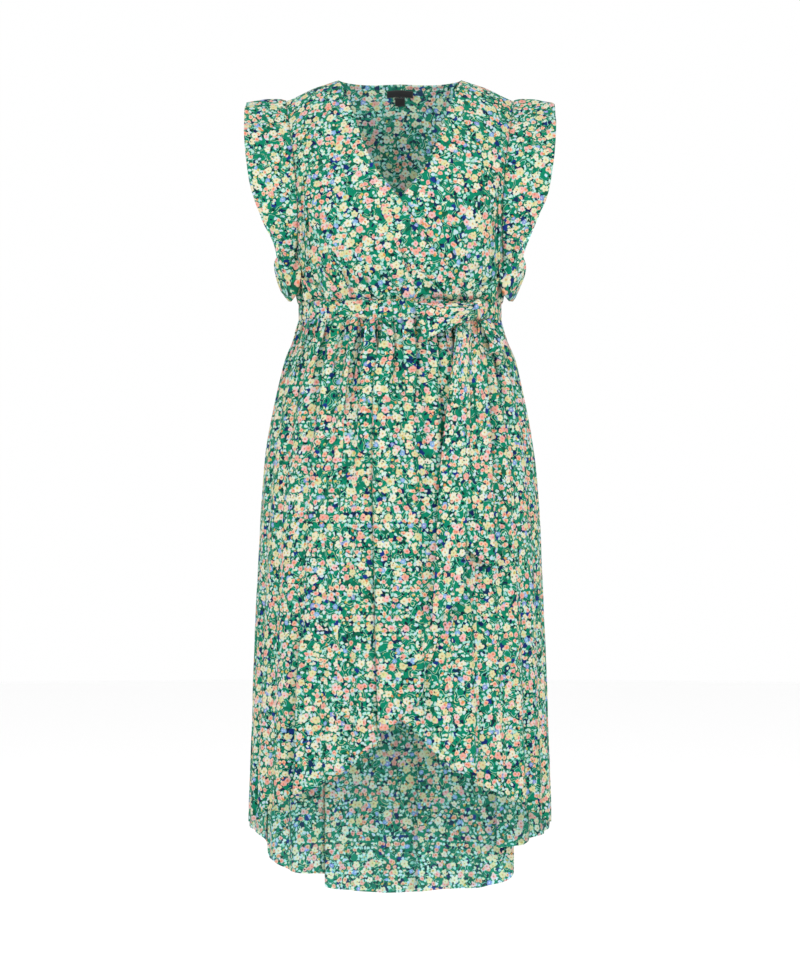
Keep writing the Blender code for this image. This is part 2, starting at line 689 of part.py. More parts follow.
def loop_strip(row):
    """The strip of a loop: it leaves the knot, turns round and comes back in front of itself."""
    fall = math.radians(row.fall)
    along = Vector((row.side * math.cos(fall), -math.sin(fall)))
    across = Vector((row.side * math.sin(fall), math.cos(fall)))
    knot_x = ring_point(SKIRT_RINGS, KNOT_ANGLE, WAIST_BOTTOM).x
    half_width = KNOT_SIZE[0] / 2 * math.cos(math.radians(KNOT_ANGLE))
    knot_reach = 1.1 / math.hypot(along.x / half_width, 2 * along.y / KNOT_SIZE[2])
    start = Vector((knot_x, KNOT_LEVEL)) + along * (knot_reach + TIE_GAP)
    grid = []
    for k in range(LOOP_STEPS + 1):
        turn = k / LOOP_STEPS
        reach = math.sin(math.pi * turn) ** 0.85
        width = row.width_at_knot + (row.width_at_end - row.width_at_knot) * reach**1.3
        out = row.stand_off + LOOP_GATHERED * turn - LOOP_SWELL * math.sin(2 * math.pi * turn)
        strip = []
        for step in (-1, -0.5, 0, 0.5, 1):
            place = start + along * row.reach * reach + across * step * width / 2
            strip.append(on_front(place.x, place.y, out + LOOP_CURL * math.cos(2.5 * step + turn)))
        grid.append(strip)
    return grid


def tie_loop(row):
    grid = loop_strip(row)
    middle = sum((point for strip in grid for point in strip), Vector()) / (len(grid) * len(grid[0]))
    return cloth(row.name, grid, wall=TIE_WALL, away_from=lambda centre: centre - middle)


def tie_tail(row):
    """A tail of the bow, which hangs over the skirt from below the knot, widening, to a slanting end."""
    top = KNOT_LEVEL - KNOT_SIZE[2] / 2 - row.below
    grid = []
    for k in range(TAIL_ROWS + 1):
        down = k / TAIL_ROWS
        width = row.width_top + (row.width_end - row.width_top) * ease(down * 1.8)
        x = row.x_top + (row.x_end - row.x_top) * down**0.9
        strip = []
        for step in range(TAIL_COLUMNS + 1):
            across = 2 * step / TAIL_COLUMNS - 1
            level = top + (row.level_end - top) * down + row.slant * across * down
            sway = TAIL_SWAY * math.sin(2.2 * across + 5 * down) * ease(1.5 * down + 0.3)
            strip.append(on_front(x + across * width / 2, level, row.stand_off + sway))
        grid.append(strip)
    return cloth(row.name, grid, wall=TIE_WALL)


# ---- Labels --------------------------------------------------------------------------------------
def label(name, size, drop):
    """A label sewn inside the back neck."""
    width, height = size
    grid = []
    for row in range(3):
        level = LABEL_LEVEL - (drop + height * row / 2) * LABEL_STEEPNESS
        strip = []
        for k in range(5):
            angle = 180 - bodice_angle(level, (k / 4 - 0.5) * width)
            inward = -surface_normal(bodice_point, angle, level)
            strip.append(bodice_point(angle, level) + inward * (LABEL_GAP + LABEL_WALL))
        grid.append(strip)
    return cloth(name, grid, wall=LABEL_WALL, finish=LABEL)


def build():
    for thing in list(bpy.data.objects):
        bpy.data.objects.remove(thing)
    bodice_front("bodice_front_outer", side=-1, under=False)
    bodice_front("bodice_front_under", side=1, under=True)
    bodice_back()
    waistband("waistband_front_outer", -90, BAND_WRAP_END, 26)
    waistband("waistband_front_under", UNDER_BAND_END, 90, 24, under_drop)
    waistband("waistband_back", 90, 270, 30)
    skirt()
    sleeve("sleeve_right", side=-1, phase=0.0)
    sleeve("sleeve_left", side=1, phase=0.35)
    knot()
    for row in LOOPS:
        tie_loop(row)
    for row in TAILS:
        tie_tail(row)
    label("neck_label", NECK_LABEL, drop=0.0)
    label("size_label", SIZE_LABEL, drop=NECK_LABEL[1] + LABEL_SPACING)


build()
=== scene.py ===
"""The looks of a wrap dress in printed viscose, worn open and hollow.

Metres, +Z up. The front faces -Y and +X is the wearer's left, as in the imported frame. An angle is
measured round the body in degrees: 0 at the centre front, +90 at the wearer's left side seam and 180 at
the centre back. A level is a height. Each piece of cloth is laid over the body by a function of two
shares, across and down.
"""

from __future__ import annotations

import bisect
import logging
import math
from collections.abc import Callable, Sequence
from dataclasses import dataclass, field
from enum import Enum
from functools import cache, partial
from typing import NamedTuple

import bmesh
import bpy
from bpy.types import Material, Node, NodeOutputs, NodeSocket, NodeTree, Object
from mathutils import Matrix, Vector, kdtree, noise

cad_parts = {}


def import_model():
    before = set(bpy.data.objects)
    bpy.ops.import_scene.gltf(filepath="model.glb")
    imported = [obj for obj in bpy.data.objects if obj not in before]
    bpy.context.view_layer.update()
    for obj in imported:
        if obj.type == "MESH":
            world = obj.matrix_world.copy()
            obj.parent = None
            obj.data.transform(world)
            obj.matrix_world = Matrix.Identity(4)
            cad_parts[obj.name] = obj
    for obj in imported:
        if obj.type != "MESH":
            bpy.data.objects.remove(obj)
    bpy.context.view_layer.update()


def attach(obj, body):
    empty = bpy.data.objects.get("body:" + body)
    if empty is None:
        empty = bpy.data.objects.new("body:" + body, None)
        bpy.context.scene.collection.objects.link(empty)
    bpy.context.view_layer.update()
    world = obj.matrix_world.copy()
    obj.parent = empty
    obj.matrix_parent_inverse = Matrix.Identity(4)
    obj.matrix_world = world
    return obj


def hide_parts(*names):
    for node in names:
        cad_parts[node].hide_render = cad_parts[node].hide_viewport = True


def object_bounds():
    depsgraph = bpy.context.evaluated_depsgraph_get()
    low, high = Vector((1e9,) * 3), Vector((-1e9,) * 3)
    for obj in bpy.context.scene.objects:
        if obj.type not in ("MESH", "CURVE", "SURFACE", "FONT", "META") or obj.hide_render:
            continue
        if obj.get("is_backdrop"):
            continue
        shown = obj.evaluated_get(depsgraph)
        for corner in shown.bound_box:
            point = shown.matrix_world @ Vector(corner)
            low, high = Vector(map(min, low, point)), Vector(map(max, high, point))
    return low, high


LOG = logging.getLogger("wrap_dress")
MM = 0.001

# ---- Sizes of the dress, in metres and degrees ----
WALL = 0.0015  # the space that a wall of cloth has
FACE = WALL - 0.0002  # how far out its outer face lies
WAIST_TOP = -0.343  # the band's upper level
WAIST_BOTTOM = -0.373
SEAM = 0.003  # how far a seam is taken in behind the band
SEAM_FACE = 0.0004  # how far out the cloth lies there
ROUNDNESS = 2.3  # 2 is an ellipse, more is squarer
WRAP_DROP = 0.0042  # how far the under front lies inside the outer one
HIDDEN_DROP = 0.0060  # how much further in its hidden part lies
COVER_MARGIN = 6.0  # how far past the outer edge it starts to go in
WRAP_BLEND = 24.0  # over how much it does
HIDDEN_BLEND = 14.0
NECK_HALF_WIDTH = 0.1007
SHOULDER_APEX = 0.058  # how far the shoulder line rises over the rings
SHOULDER_SLOPE = 0.333  # how steeply it falls outwards
SHOULDER_ROUND = 0.03  # the width of its rounded top
SHOULDER_DROOP = 0.006  # how far the cloth falls at the armhole's top
DROOP_START = 0.135  # the x at which it starts to
DROOP_WIDTH = 0.05
SHOULDER_FADE = 0.14  # how far down the slope fades
SHOULDER_DOME = 0.09  # how far down the rings close over
BACK_NECK_DROP = 0.019
BACK_NECK_BLEND = 0.075
ARMHOLE_DEPTH = 0.29
ARMHOLE_INSET = 30.0


class Ring(NamedTuple):
    """A level ring of the body."""

    level: float
    half_width: float
    front: float
    back: float


BODICE_RINGS = (
    Ring(0.000, 0.1870, 0.075, 0.070),
    Ring(-0.030, 0.1950, 0.083, 0.082),
    Ring(-0.070, 0.2020, 0.098, 0.098),
    Ring(-0.110, 0.2050, 0.118, 0.110),
    Ring(-0.150, 0.2030, 0.137, 0.118),
    Ring(-0.200, 0.1930, 0.152, 0.124),
    Ring(-0.250, 0.1790, 0.156, 0.125),
    Ring(-0.290, 0.1720, 0.151, 0.126),
    Ring(-0.315, 0.1700, 0.144, 0.127),
    Ring(-0.330, 0.1685, 0.136, 0.126),
    Ring(-0.339, 0.1655, 0.126, 0.1215),
    Ring(-0.343, 0.1650, 0.125, 0.1205),
)
SKIRT_RINGS = (
    Ring(-0.373, 0.1650, 0.125, 0.1205),
    Ring(-0.378, 0.1652, 0.1253, 0.121),
    Ring(-0.404, 0.1720, 0.132, 0.130),
    Ring(-0.437, 0.1850, 0.142, 0.143),
    Ring(-0.503, 0.2025, 0.155, 0.160),
    Ring(-0.602, 0.2200, 0.167, 0.174),
    Ring(-0.750, 0.2305, 0.178, 0.181),
    Ring(-0.998, 0.2400, 0.190, 0.186),
    Ring(-1.163, 0.2460, 0.196, 0.192),
    Ring(-1.350, 0.2460, 0.198, 0.198),
)

# Angle against level, down the wrap and round the tulip hem to the side seam, and then round the back.
FRONT_EDGE = (
    (-46.0, -0.355), (-42.0, -0.373), (-37.0, -0.420), (-30.0, -0.530),
    (-26.0, -0.650), (-23.5, -0.760), (-17.6, -0.840), (-12.0, -0.920),
    (-7.0, -0.984), (0.0, -1.013), (6.5, -1.038), (16.0, -1.081),
    (24.0, -1.105), (32.0, -1.124), (50.0, -1.156), (70.0, -1.188),
    (90.0, -1.198),
)
BACK_EDGE = (
    (90.0, -1.198), (108.0, -1.230), (120.0, -1.262), (131.0, -1.299),
    (148.0, -1.333), (165.0, -1.344), (180.0, -1.347),
)
# How far the back's edge hangs above that, against angle, where its folds lift it.
BACK_RISE = (
    (100.0, 0.0), (110.0, 0.007), (121.0, 0.025), (131.0, 0.040),
    (134.0, 0.041), (140.5, 0.005), (145.0, 0.0), (158.0, 0.006),
    (180.0, 0.003), (198.0, 0.003), (206.0, 0.009), (214.5, 0.0200),
    (222.0, 0.0110), (229.0, 0.005), (234.0, 0.000), (239.0, -0.002),
    (244.0, 0.012), (255.0, 0.004), (262.0, 0.0),
)
# Level against x on the panel's own side, from the shoulder down the neck and the wrap.
FRONT_NECK = (
    (0.000, NECK_HALF_WIDTH), (-0.0544, 0.0765), (-0.1106, 0.0532), (-0.1478, 0.0273),
    (-0.1840, 0.0), (-0.2640, -0.0560), (-0.3430, -0.1126),
)


class Fold(NamedTuple):
    """A crease of the skirt: its angles at waist and hem, and its depths (mm) at waist, half way and hem."""

    top_angle: float
    hem_angle: float
    top_depth: float
    mid_depth: float
    hem_depth: float


FRONT_FOLDS = (
    Fold(-90.0, -90.0, 3, 1.5, 3),
    Fold(-78.0, -80.0, 5, 1.5, 5),
    Fold(-65.5, -68.0, 6, 2.5, 8),
    Fold(-52.5, -55.5, 5, 2, 3),
    Fold(-39.5, -42.0, 9, 4, 8),
    Fold(-30.0, -31.0, 6, 2, 3),
    Fold(-21.0, -20.0, 9, 3, 6),
    Fold(-12.6, -7.0, 9, 9, 10),
    Fold(-2.5, 2.5, 6, 2, 3),
    Fold(8.5, 11.0, 7, 6, 6),
    Fold(19.5, 21.0, 6, 2, 4),
    Fold(30.0, 31.0, 7, 5, 7),
    Fold(41.0, 42.5, 8, 3, 3),
    Fold(53.0, 55.0, 6, 2, 8),
    Fold(65.5, 67.5, 6, 3, 4),
    Fold(78.0, 79.5, 5, 1.5, 6),
    Fold(90.0, 90.0, 3, 1.5, 3),
)
BACK_FOLDS = (
    Fold(90.0, 90.0, 3, 1.5, 3),
    Fold(104.2, 104.2, 8.5, 4.2, 2.6),
    Fold(118.7, 118.7, 6.4, 2.1, 6.2),
    Fold(132.8, 132.8, 5.8, 1.5, 11.7),
    Fold(146.0, 146.0, 8.1, 3.8, 3.3),
    Fold(158.6, 158.6, 7.8, 3.5, 3.7),
    Fold(171.2, 171.2, 5.6, 1.3, 7.2),
    Fold(184.8, 184.8, 6.7, 2.4, 5.4),
    Fold(199.4, 199.4, 8.5, 4.2, 2.9),
    Fold(214.5, 214.5, 6.7, 2.4, 9.4),
    Fold(229.3, 229.3, 5.6, 1.3, 7.2),
    Fold(243.3, 243.3, 7.9, 3.6, 3.6),
    Fold(256.6, 256.6, 8.0, 3.7, 3.3),
    Fold(270.0, 270.0, 3, 1.5, 3),
)
RIDGE_SHARE = 0.45  # how far a ridge stands out, as a share of its creases' depth
SEAM_GATHER_SHARE = 0.3  # the share of it that the waist seam leaves
FOLD_TOP = -0.402  # the levels of a fold's three depths
FOLD_MIDDLE = -0.70
FOLD_HEM = -1.15
LOWEST = 1.40  # how far down a hem is looked for
COVERED = 11  # the fold up to which the under front lies smooth, covered by the other


class Tuck(NamedTuple):
    """A fold that laps over itself: its place in folds, half width (mm), lap, stand, levels and fade."""

    place: float
    half_width: float
    lap: float
    stand: float
    top: float
    bottom: float
    fade: float = 0.05


FRONT_BREAKS = (1.0, 2.0, 3.0, 4.25, 5.6, 7.0, 8.9, 10.0, 11.0, 12.6, 13.5, 15.0)
FRONT_TUCKS = (
    Tuck(7.0, 15.0, 0.58, 0.0042, -0.39, -1.20),
    Tuck(4.35, 11.0, 0.48, 0.0024, -0.36, -0.48),
    Tuck(5.6, 12.0, 0.50, -0.0026, -0.36, -0.50),
    Tuck(8.9, 11.0, 0.44, 0.0022, -0.64, -0.92),
    Tuck(4.15, 14.0, 0.58, 0.0042, -0.86, -1.20),
    Tuck(12.6, 12.0, 0.48, -0.0026, -0.36, -0.56),
    Tuck(13.5, 12.0, 0.42, 0.0022, -0.95, -1.25),
)
BACK_TUCKS = (
    Tuck(3.20, 34.0, 0.56, 0.0090, -0.80, -1.40),
    Tuck(8.65, 36.0, 0.58, 0.0125, -0.80, -1.40),
    Tuck(10.8, 17.0, 0.56, 0.0050, -0.95, -1.40),
    Tuck(6.1, 16.0, 0.42, 0.0026, -0.90, -1.40),
)


PLEAT_HALF_WIDTH = 7.5  # mm
PLEAT_WIDENING = 3.0  # mm, by how much that varies
PLEAT_SHIFT = 0.16  # by how much its place varies, in folds
PLEAT_LAP = 0.62
PLEAT_STAND = 0.0022
PLEAT_TOP = -0.362
PLEAT_BOTTOM = -0.415
PLEAT_LENGTHENING = 0.12  # by how much the longest ends lower
PLEAT_FADE = 0.02


def waist_pleats(places: Sequence[float], seed: float) -> tuple[Tuck, ...]:
    """Narrow pleats of the gathered waist, each its own width and length.

    Args:
        places: where they are, in folds.
        seed: for their unevenness.

    Returns:
        The pleats.
    """
    pleats = []
    for place in places:
        turn, long = crumple(place * 3.7, 0.0, seed), crumple(place * 5.3, 4.0, seed)
        at = place + PLEAT_SHIFT * turn
        stand = PLEAT_STAND if at % 1 < 0.5 else -PLEAT_STAND  # the layer nearer the ridge lies on top
        half_width = PLEAT_HALF_WIDTH + PLEAT_WIDENING * turn
        bottom = PLEAT_BOTTOM - PLEAT_LENGTHENING * abs(long)
        pleats.append(Tuck(at, half_width, PLEAT_LAP, stand, PLEAT_TOP, bottom, PLEAT_FADE))
    return tuple(pleats)


class Crease(NamedTuple):
    """A crease of a bodice front between two points, each x on the panel's own side and a level.

    A drag fold is a soft trough, depth deep. A lap slides over itself and stands depth out.
    """

    x0: float
    level0: float
    x1: float
    level1: float
    depth: float
    width: float


LAPS = (
    Crease(0.1585, -0.135, 0.1570, -0.288, 0.0024, 0.0070),
    Crease(0.1500, -0.190, 0.1480, -0.300, 0.0020, 0.0060),
    Crease(0.1640, -0.300, 0.1180, -0.334, 0.0036, 0.0085),
    Crease(0.1300, -0.286, 0.1040, -0.318, 0.0024, 0.0070),
    Crease(0.0960, -0.294, 0.0790, -0.336, 0.0032, 0.0080),
    Crease(0.0620, -0.300, 0.0430, -0.340, 0.0028, 0.0075),
    Crease(0.0030, -0.258, -0.0140, -0.312, 0.0032, 0.0080),
    Crease(-0.0300, -0.298, -0.0740, -0.337, 0.0030, 0.0080),
)
DRAG_FOLDS = (
    Crease(-0.100, -0.330, 0.070, -0.240, 0.0055, 0.014),
    Crease(-0.090, -0.345, 0.110, -0.290, 0.0045, 0.013),
    Crease(-0.070, -0.280, 0.085, -0.195, 0.0040, 0.015),
)


# ---- Curves ----
class Curve:
    """A smooth curve of one number against another, through given points."""

    def __init__(self, points: Sequence[tuple[float, float]]) -> None:
        """Takes the points in any order.

        Args:
            points: pairs of a place and its value.
        """
        rows = sorted(points)
        last = len(rows) - 1
        self.at = [row[0] for row in rows]
        self.value = [row[1] for row in rows]
        self.slope = [
            (self.value[min(i + 1, last)] - self.value[max(i - 1, 0)])
            / (self.at[min(i + 1, last)] - self.at[max(i - 1, 0)])
            for i in range(last + 1)
        ]

    def __call__(self, at: float) -> float:
        """The value at a place, held level past both ends."""
        if at <= self.at[0]:
            return self.value[0]
        if at >= self.at[-1]:
            return self.value[-1]
        k = bisect.bisect_left(self.at, at) - 1
        span = self.at[k + 1] - self.at[k]
        t = (at - self.at[k]) / span
        start, end = self.value[k], self.value[k + 1]
        rise = (2 * t**3 - 3 * t**2 + 1) * start + (3 * t**2 - 2 * t**3) * end
        return rise + span * ((t**3 - 2 * t**2 + t) * self.slope[k] + (t**3 - t**2) * self.slope[k + 1])


def mix(start: float, end: float, share: float) -> float:
    """The number at a share of the way from one to another."""
    return start + (end - start) * share


def ease(t: float) -> float:
    """A smooth step from 0 to 1 while t goes from 0 to 1."""
    t = min(max(t, 0.0), 1.0)
    return t * t * (3 - 2 * t)


def bump(t: float) -> float:
    """A smooth bump of height 1 at t = 0, gone by about t = 2."""
    return math.exp(-t * t)


def crumple(x: float, y: float, seed: float) -> float:
    """Smooth unevenness between -1 and 1, for places a few units apart."""
    return noise.noise(Vector((x, y, seed)))


def uneven_wave(place: float, count: float, wander: float, beat: float) -> float:
    """A wave between -1 and 1, count to a unit, whose beats wander."""
    return math.sin(2 * math.pi * (place * count + wander * math.sin(beat * place)))


class Rumple(NamedTuple):
    """Smooth unevenness of cloth: its height, its turns a unit across and down, and its seed."""

    height: float
    across: float
    down: float
    seed: float

    def at(self, across: float, down: float, shift: float = 0.0) -> float:
        """Its height at a place, with its seed shifted."""
        return self.height * crumple(across * self.across, down * self.down, self.seed + shift)


def find(value_at: Callable[[float], float], target: float, low: float, high: float) -> float:
    """Where a rising function reaches a target.

    Args:
        value_at: the function.
        target: the value to reach.
        low: the lower end of the search.
        high: its upper end.

    Returns:
        The place, halved down to well under a thousandth of the range.
    """
    for _ in range(26):
        middle = (low + high) / 2
        low, high = (middle, high) if value_at(middle) < target else (low, middle)
    return (low + high) / 2


# ---- The body ----
class Torso:
    """The wearer's shape over a range of levels, as rings a little squarer than ellipses."""

    def __init__(self, rings: Sequence[Ring]) -> None:
        """Takes the rings, in any order."""
        self.half_width, self.front, self.back = (
            Curve([(ring.level, ring[axis]) for ring in rings]) for axis in (1, 2, 3)
        )

    def opening(self, level: float) -> float:
        """The share of its depth that the ring at a level has."""
        return 1.0

    def point(self, angle: float, level: float, out: float = 0.0) -> Vector:
        """A point of the ring at a level, moved out from the body.

        Args:
            angle: round the body.
            level: its height.
            out: how far it is moved outwards.

        Returns:
            The point.
        """
        sine, cosine = math.sin(math.radians(angle)), math.cos(math.radians(angle))
        swell = (abs(sine) ** ROUNDNESS + abs(cosine) ** ROUNDNESS) ** (-1 / ROUNDNESS)
        opening = self.opening(level)
        depth = (self.front if cosine > 0 else self.back)(level) * opening
        x = self.half_width(level) * sine * swell + out * opening * sine
        return Vector((x, -depth * cosine * swell - out * opening * cosine, level))


class Shoulders(Torso):
    """The bodice's part of the body: its rings close over the shoulders, which slope."""

    def opening(self, level: float) -> float:
        """The share of its depth that a ring has, down to none at the shoulders."""
        return math.sqrt(max(0.0, 1 - max(0.0, 1 + level / SHOULDER_DOME) ** 2))

    def point(self, angle: float, level: float, out: float = 0.0) -> Vector:
        """A point of the bodice, as Torso's but raised to the slope of the shoulders."""
        point = super().point(angle, level, out)
        point.z += out * max(0.0, 1 + level / SHOULDER_DOME)
        shoulder = SHOULDER_APEX - SHOULDER_SLOPE * math.hypot(point.x, SHOULDER_ROUND)
        shoulder -= SHOULDER_DROOP * ease((abs(point.x) - DROOP_START) / DROOP_WIDTH)
        point.z += max(0.0, 1 + level / SHOULDER_FADE) * shoulder
        return point

    def angle_at(self, level: float, x: float) -> float:
        """The angle on the front at which the bodice has this x at this level."""
        return find(lambda angle: self.point(angle, level).x, x, -90.0, 90.0)

    def normal(self, angle: float, level: float) -> Vector:
        """The outward normal of the bodice."""
        here = self.point(angle, level)
        across = self.point(angle + 0.5, level) - here
        down = self.point(angle, level - 0.001) - here
        normal = across.cross(down).normalized()
        return normal if normal.dot(Vector((here.x, here.y, 0))) > 0 else -normal


BODICE = Shoulders(BODICE_RINGS)
SKIRT = Torso(SKIRT_RINGS)
NECK_X = Curve(FRONT_NECK)
FRONT_HEM = Curve(FRONT_EDGE)
BACK_HEM = Curve(BACK_EDGE)
BACK_LIFT = Curve(BACK_RISE)


def armhole_angle(level: float) -> float:
    """Where a bodice front ends at its own side: the side seam, or the armhole's edge."""
    if level < -ARMHOLE_DEPTH:
        return 90.0
    return 90.0 - ARMHOLE_INSET * math.sin(math.acos(1 + 2 * level / ARMHOLE_DEPTH))


def wrap_angle(level: float) -> float:
    """How far past the centre front the outer panel's edge lies, bodice and skirt alike."""
    if level > WAIST_TOP:
        return -BODICE.angle_at(level, NECK_X(level))
    return -find(lambda angle: -FRONT_HEM(angle), -level, FRONT_EDGE[0][0], FRONT_EDGE[-1][0])


def under_drop(angle: float, edge: float) -> float:
    """How far the under front lies in, at an angle on its own side, where the outer edge is at the other."""
    return -WRAP_DROP * ease((edge + COVER_MARGIN + WRAP_BLEND - angle) / WRAP_BLEND)


def on_front(x: float, level: float, out: float) -> Vector:
    """A point over the smooth front of skirt and waistband, at this x and level."""
    base = min(level, WAIST_BOTTOM)
    angle = find(lambda turn: SKIRT.point(turn, base).x, x, -90.0, 90.0)
    point = SKIRT.point(angle, base, out)
    point.z = level
    return point


# ---- Finishes ----
def linear(code: str) -> tuple[float, float, float, float]:
    """Turns an sRGB hex colour into Blender's linear one.

    Args:
        code: six hex digits, with or without a #.

    Returns:
        Red, green, blue and 1.
    """
    digits = code.lstrip("#")
    parts = [int(digits[i : i + 2], 16) / 255 for i in (0, 2, 4)]
    red, green, blue = (c / 12.92 if c <= 0.04045 else ((c + 0.055) / 1.055) ** 2.4 for c in parts)
    return red, green, blue, 1.0


def feed(tree: NodeTree, node: Node, inputs: dict | Sequence) -> None:
    """Sets or links a node's inputs.

    Args:
        tree: the node tree.
        node: the node.
        inputs: by name or in order, each a value, or the output that feeds it.
    """
    for key, value in inputs.items() if isinstance(inputs, dict) else enumerate(inputs):
        if isinstance(value, NodeSocket):
            tree.links.new(value, node.inputs[key])
        else:
            node.inputs[key].default_value = value


def add_node(tree: NodeTree, kind: str, inputs: dict | Sequence = (), **settings: object) -> NodeOutputs:
    """Adds a node, sets its properties, and sets or links its inputs.

    Args:
        tree: the node tree.
        kind: the node's type, without its ShaderNode.
        inputs: by name or in order, each a value, or the output that feeds it.
        settings: the node's own properties.

    Returns:
        Its outputs.
    """
    node = tree.nodes.new(kind if kind.startswith("NodeGroup") else f"ShaderNode{kind}")
    for name, value in settings.items():
        setattr(node, name, value)
    feed(tree, node, inputs)
    return node.outputs


def new_group(name: str, inputs: dict[str, str], outputs: dict[str, str]) -> tuple[NodeTree, NodeOutputs]:
    """Starts a node group.

    Args:
        name: its name.
        inputs: each input's name and kind of value.
        outputs: the same of each output.

    Returns:
        The group's tree, and what its inputs give.
    """
    tree = bpy.data.node_groups.new(name, "ShaderNodeTree")
    for in_out, sockets in (("INPUT", inputs), ("OUTPUT", outputs)):
        for socket, kind in sockets.items():
            tree.interface.new_socket(socket, in_out=in_out, socket_type=f"NodeSocket{kind}")
    return tree, add_node(tree, "NodeGroupInput")


def new_material(name: str) -> tuple[Material, NodeSocket]:
    """Starts a material of cloth.

    Args:
        name: its name.

    Returns:
        The material, and the place on the cloth in mm.
    """
    material = bpy.data.materials.new(name)
    material.use_nodes = True
    uv = add_node(material.node_tree, "UVMap", uv_map="cloth")["UV"]
    place = add_node(material.node_tree, "VectorMath", {0: uv, "Scale": 1 / MM}, operation="SCALE")[0]
    return material, place


@dataclass(frozen=True)
class Motif:
    """One kind of small painted motif, scattered one to a cell, in millimetres."""

    cell: float  # the spacing of its cells
    radius: float  # its reach, to the petal tips
    petals: int  # how many it has, or 0 for a plain dab
    notch: float  # how far its outline draws in between petals, as a share of radius
    stretch: float  # how many times as long as wide
    share: float  # the share of cells that hold one
    colours: tuple[str, ...]  # its paints
    heart: str | None  # the paint at its centre, or none
    heart_size: float  # the share of its reach that this covers
    seed: float  # where its pattern of cells starts


# Ditsy floral, from the bottom paint to the top one.
GROUND = "#028A68"
MOTIFS = (
    Motif(12.0, 5.6, 3, 0.45, 1.5, 0.40, ("#08755A", "#0A6449", "#047E60"), None, 0.0, 3.1),
    Motif(12.6, 5.4, 3, 0.38, 1.3, 0.20, ("#123074", "#0E2258", "#18388A", "#10345A"), None, 0.0, 17.7),
    Motif(7.6, 2.9, 2, 0.30, 1.7, 0.34, ("#0E2638", "#083430", "#0E2C4A"), None, 0.0, 117.1),
    Motif(7.0, 2.9, 0, 0.0, 1.7, 0.38, ("#BDEEE2", "#D2EEE6", "#A2E0D4", "#C8E4EE"), None, 0.0, 29.3),
    Motif(14.5, 4.7, 5, 0.25, 1.1, 0.10, ("#86ACE0", "#8C9EDC", "#8DB6E6"), "#C6D8F0", 0.30, 53.2),
    Motif(8.0, 2.4, 0, 0.0, 1.4, 0.31, ("#E6E8C4", "#D4EACC", "#F0DAC4", "#C2E6D8"), None, 0.0, 129.9),
    Motif(9.8, 4.2, 3, 0.20, 1.15, 0.27, ("#F6C9A8", "#F5BEA6", "#F3B8B2", "#F4D4B8"), "#EE8E6E", 0.44, 67.4),
    Motif(16.0, 5.5, 5, 0.24, 1.0, 0.19, ("#F4C0BE", "#F3D0CC", "#F3B2A2"), "#EC8A74", 0.30, 79.8),
    Motif(14.8, 6.5, 5, 0.36, 1.0, 0.31, ("#EBE9C4", "#E4E0AC", "#EDEDD4"), "#D8B876", 0.24, 91.5),
    Motif(11.5, 2.2, 0, 0.0, 1.3, 0.18, ("#D4C066", "#DE9E5E", "#CACE8C"), None, 0.0, 103.6),
    Motif(9.0, 1.3, 0, 0.0, 1.6, 0.30, ("#12323A", "#0C2233", "#EEEED4", "#B9E8DC"), None, 0.0, 141.3),
)


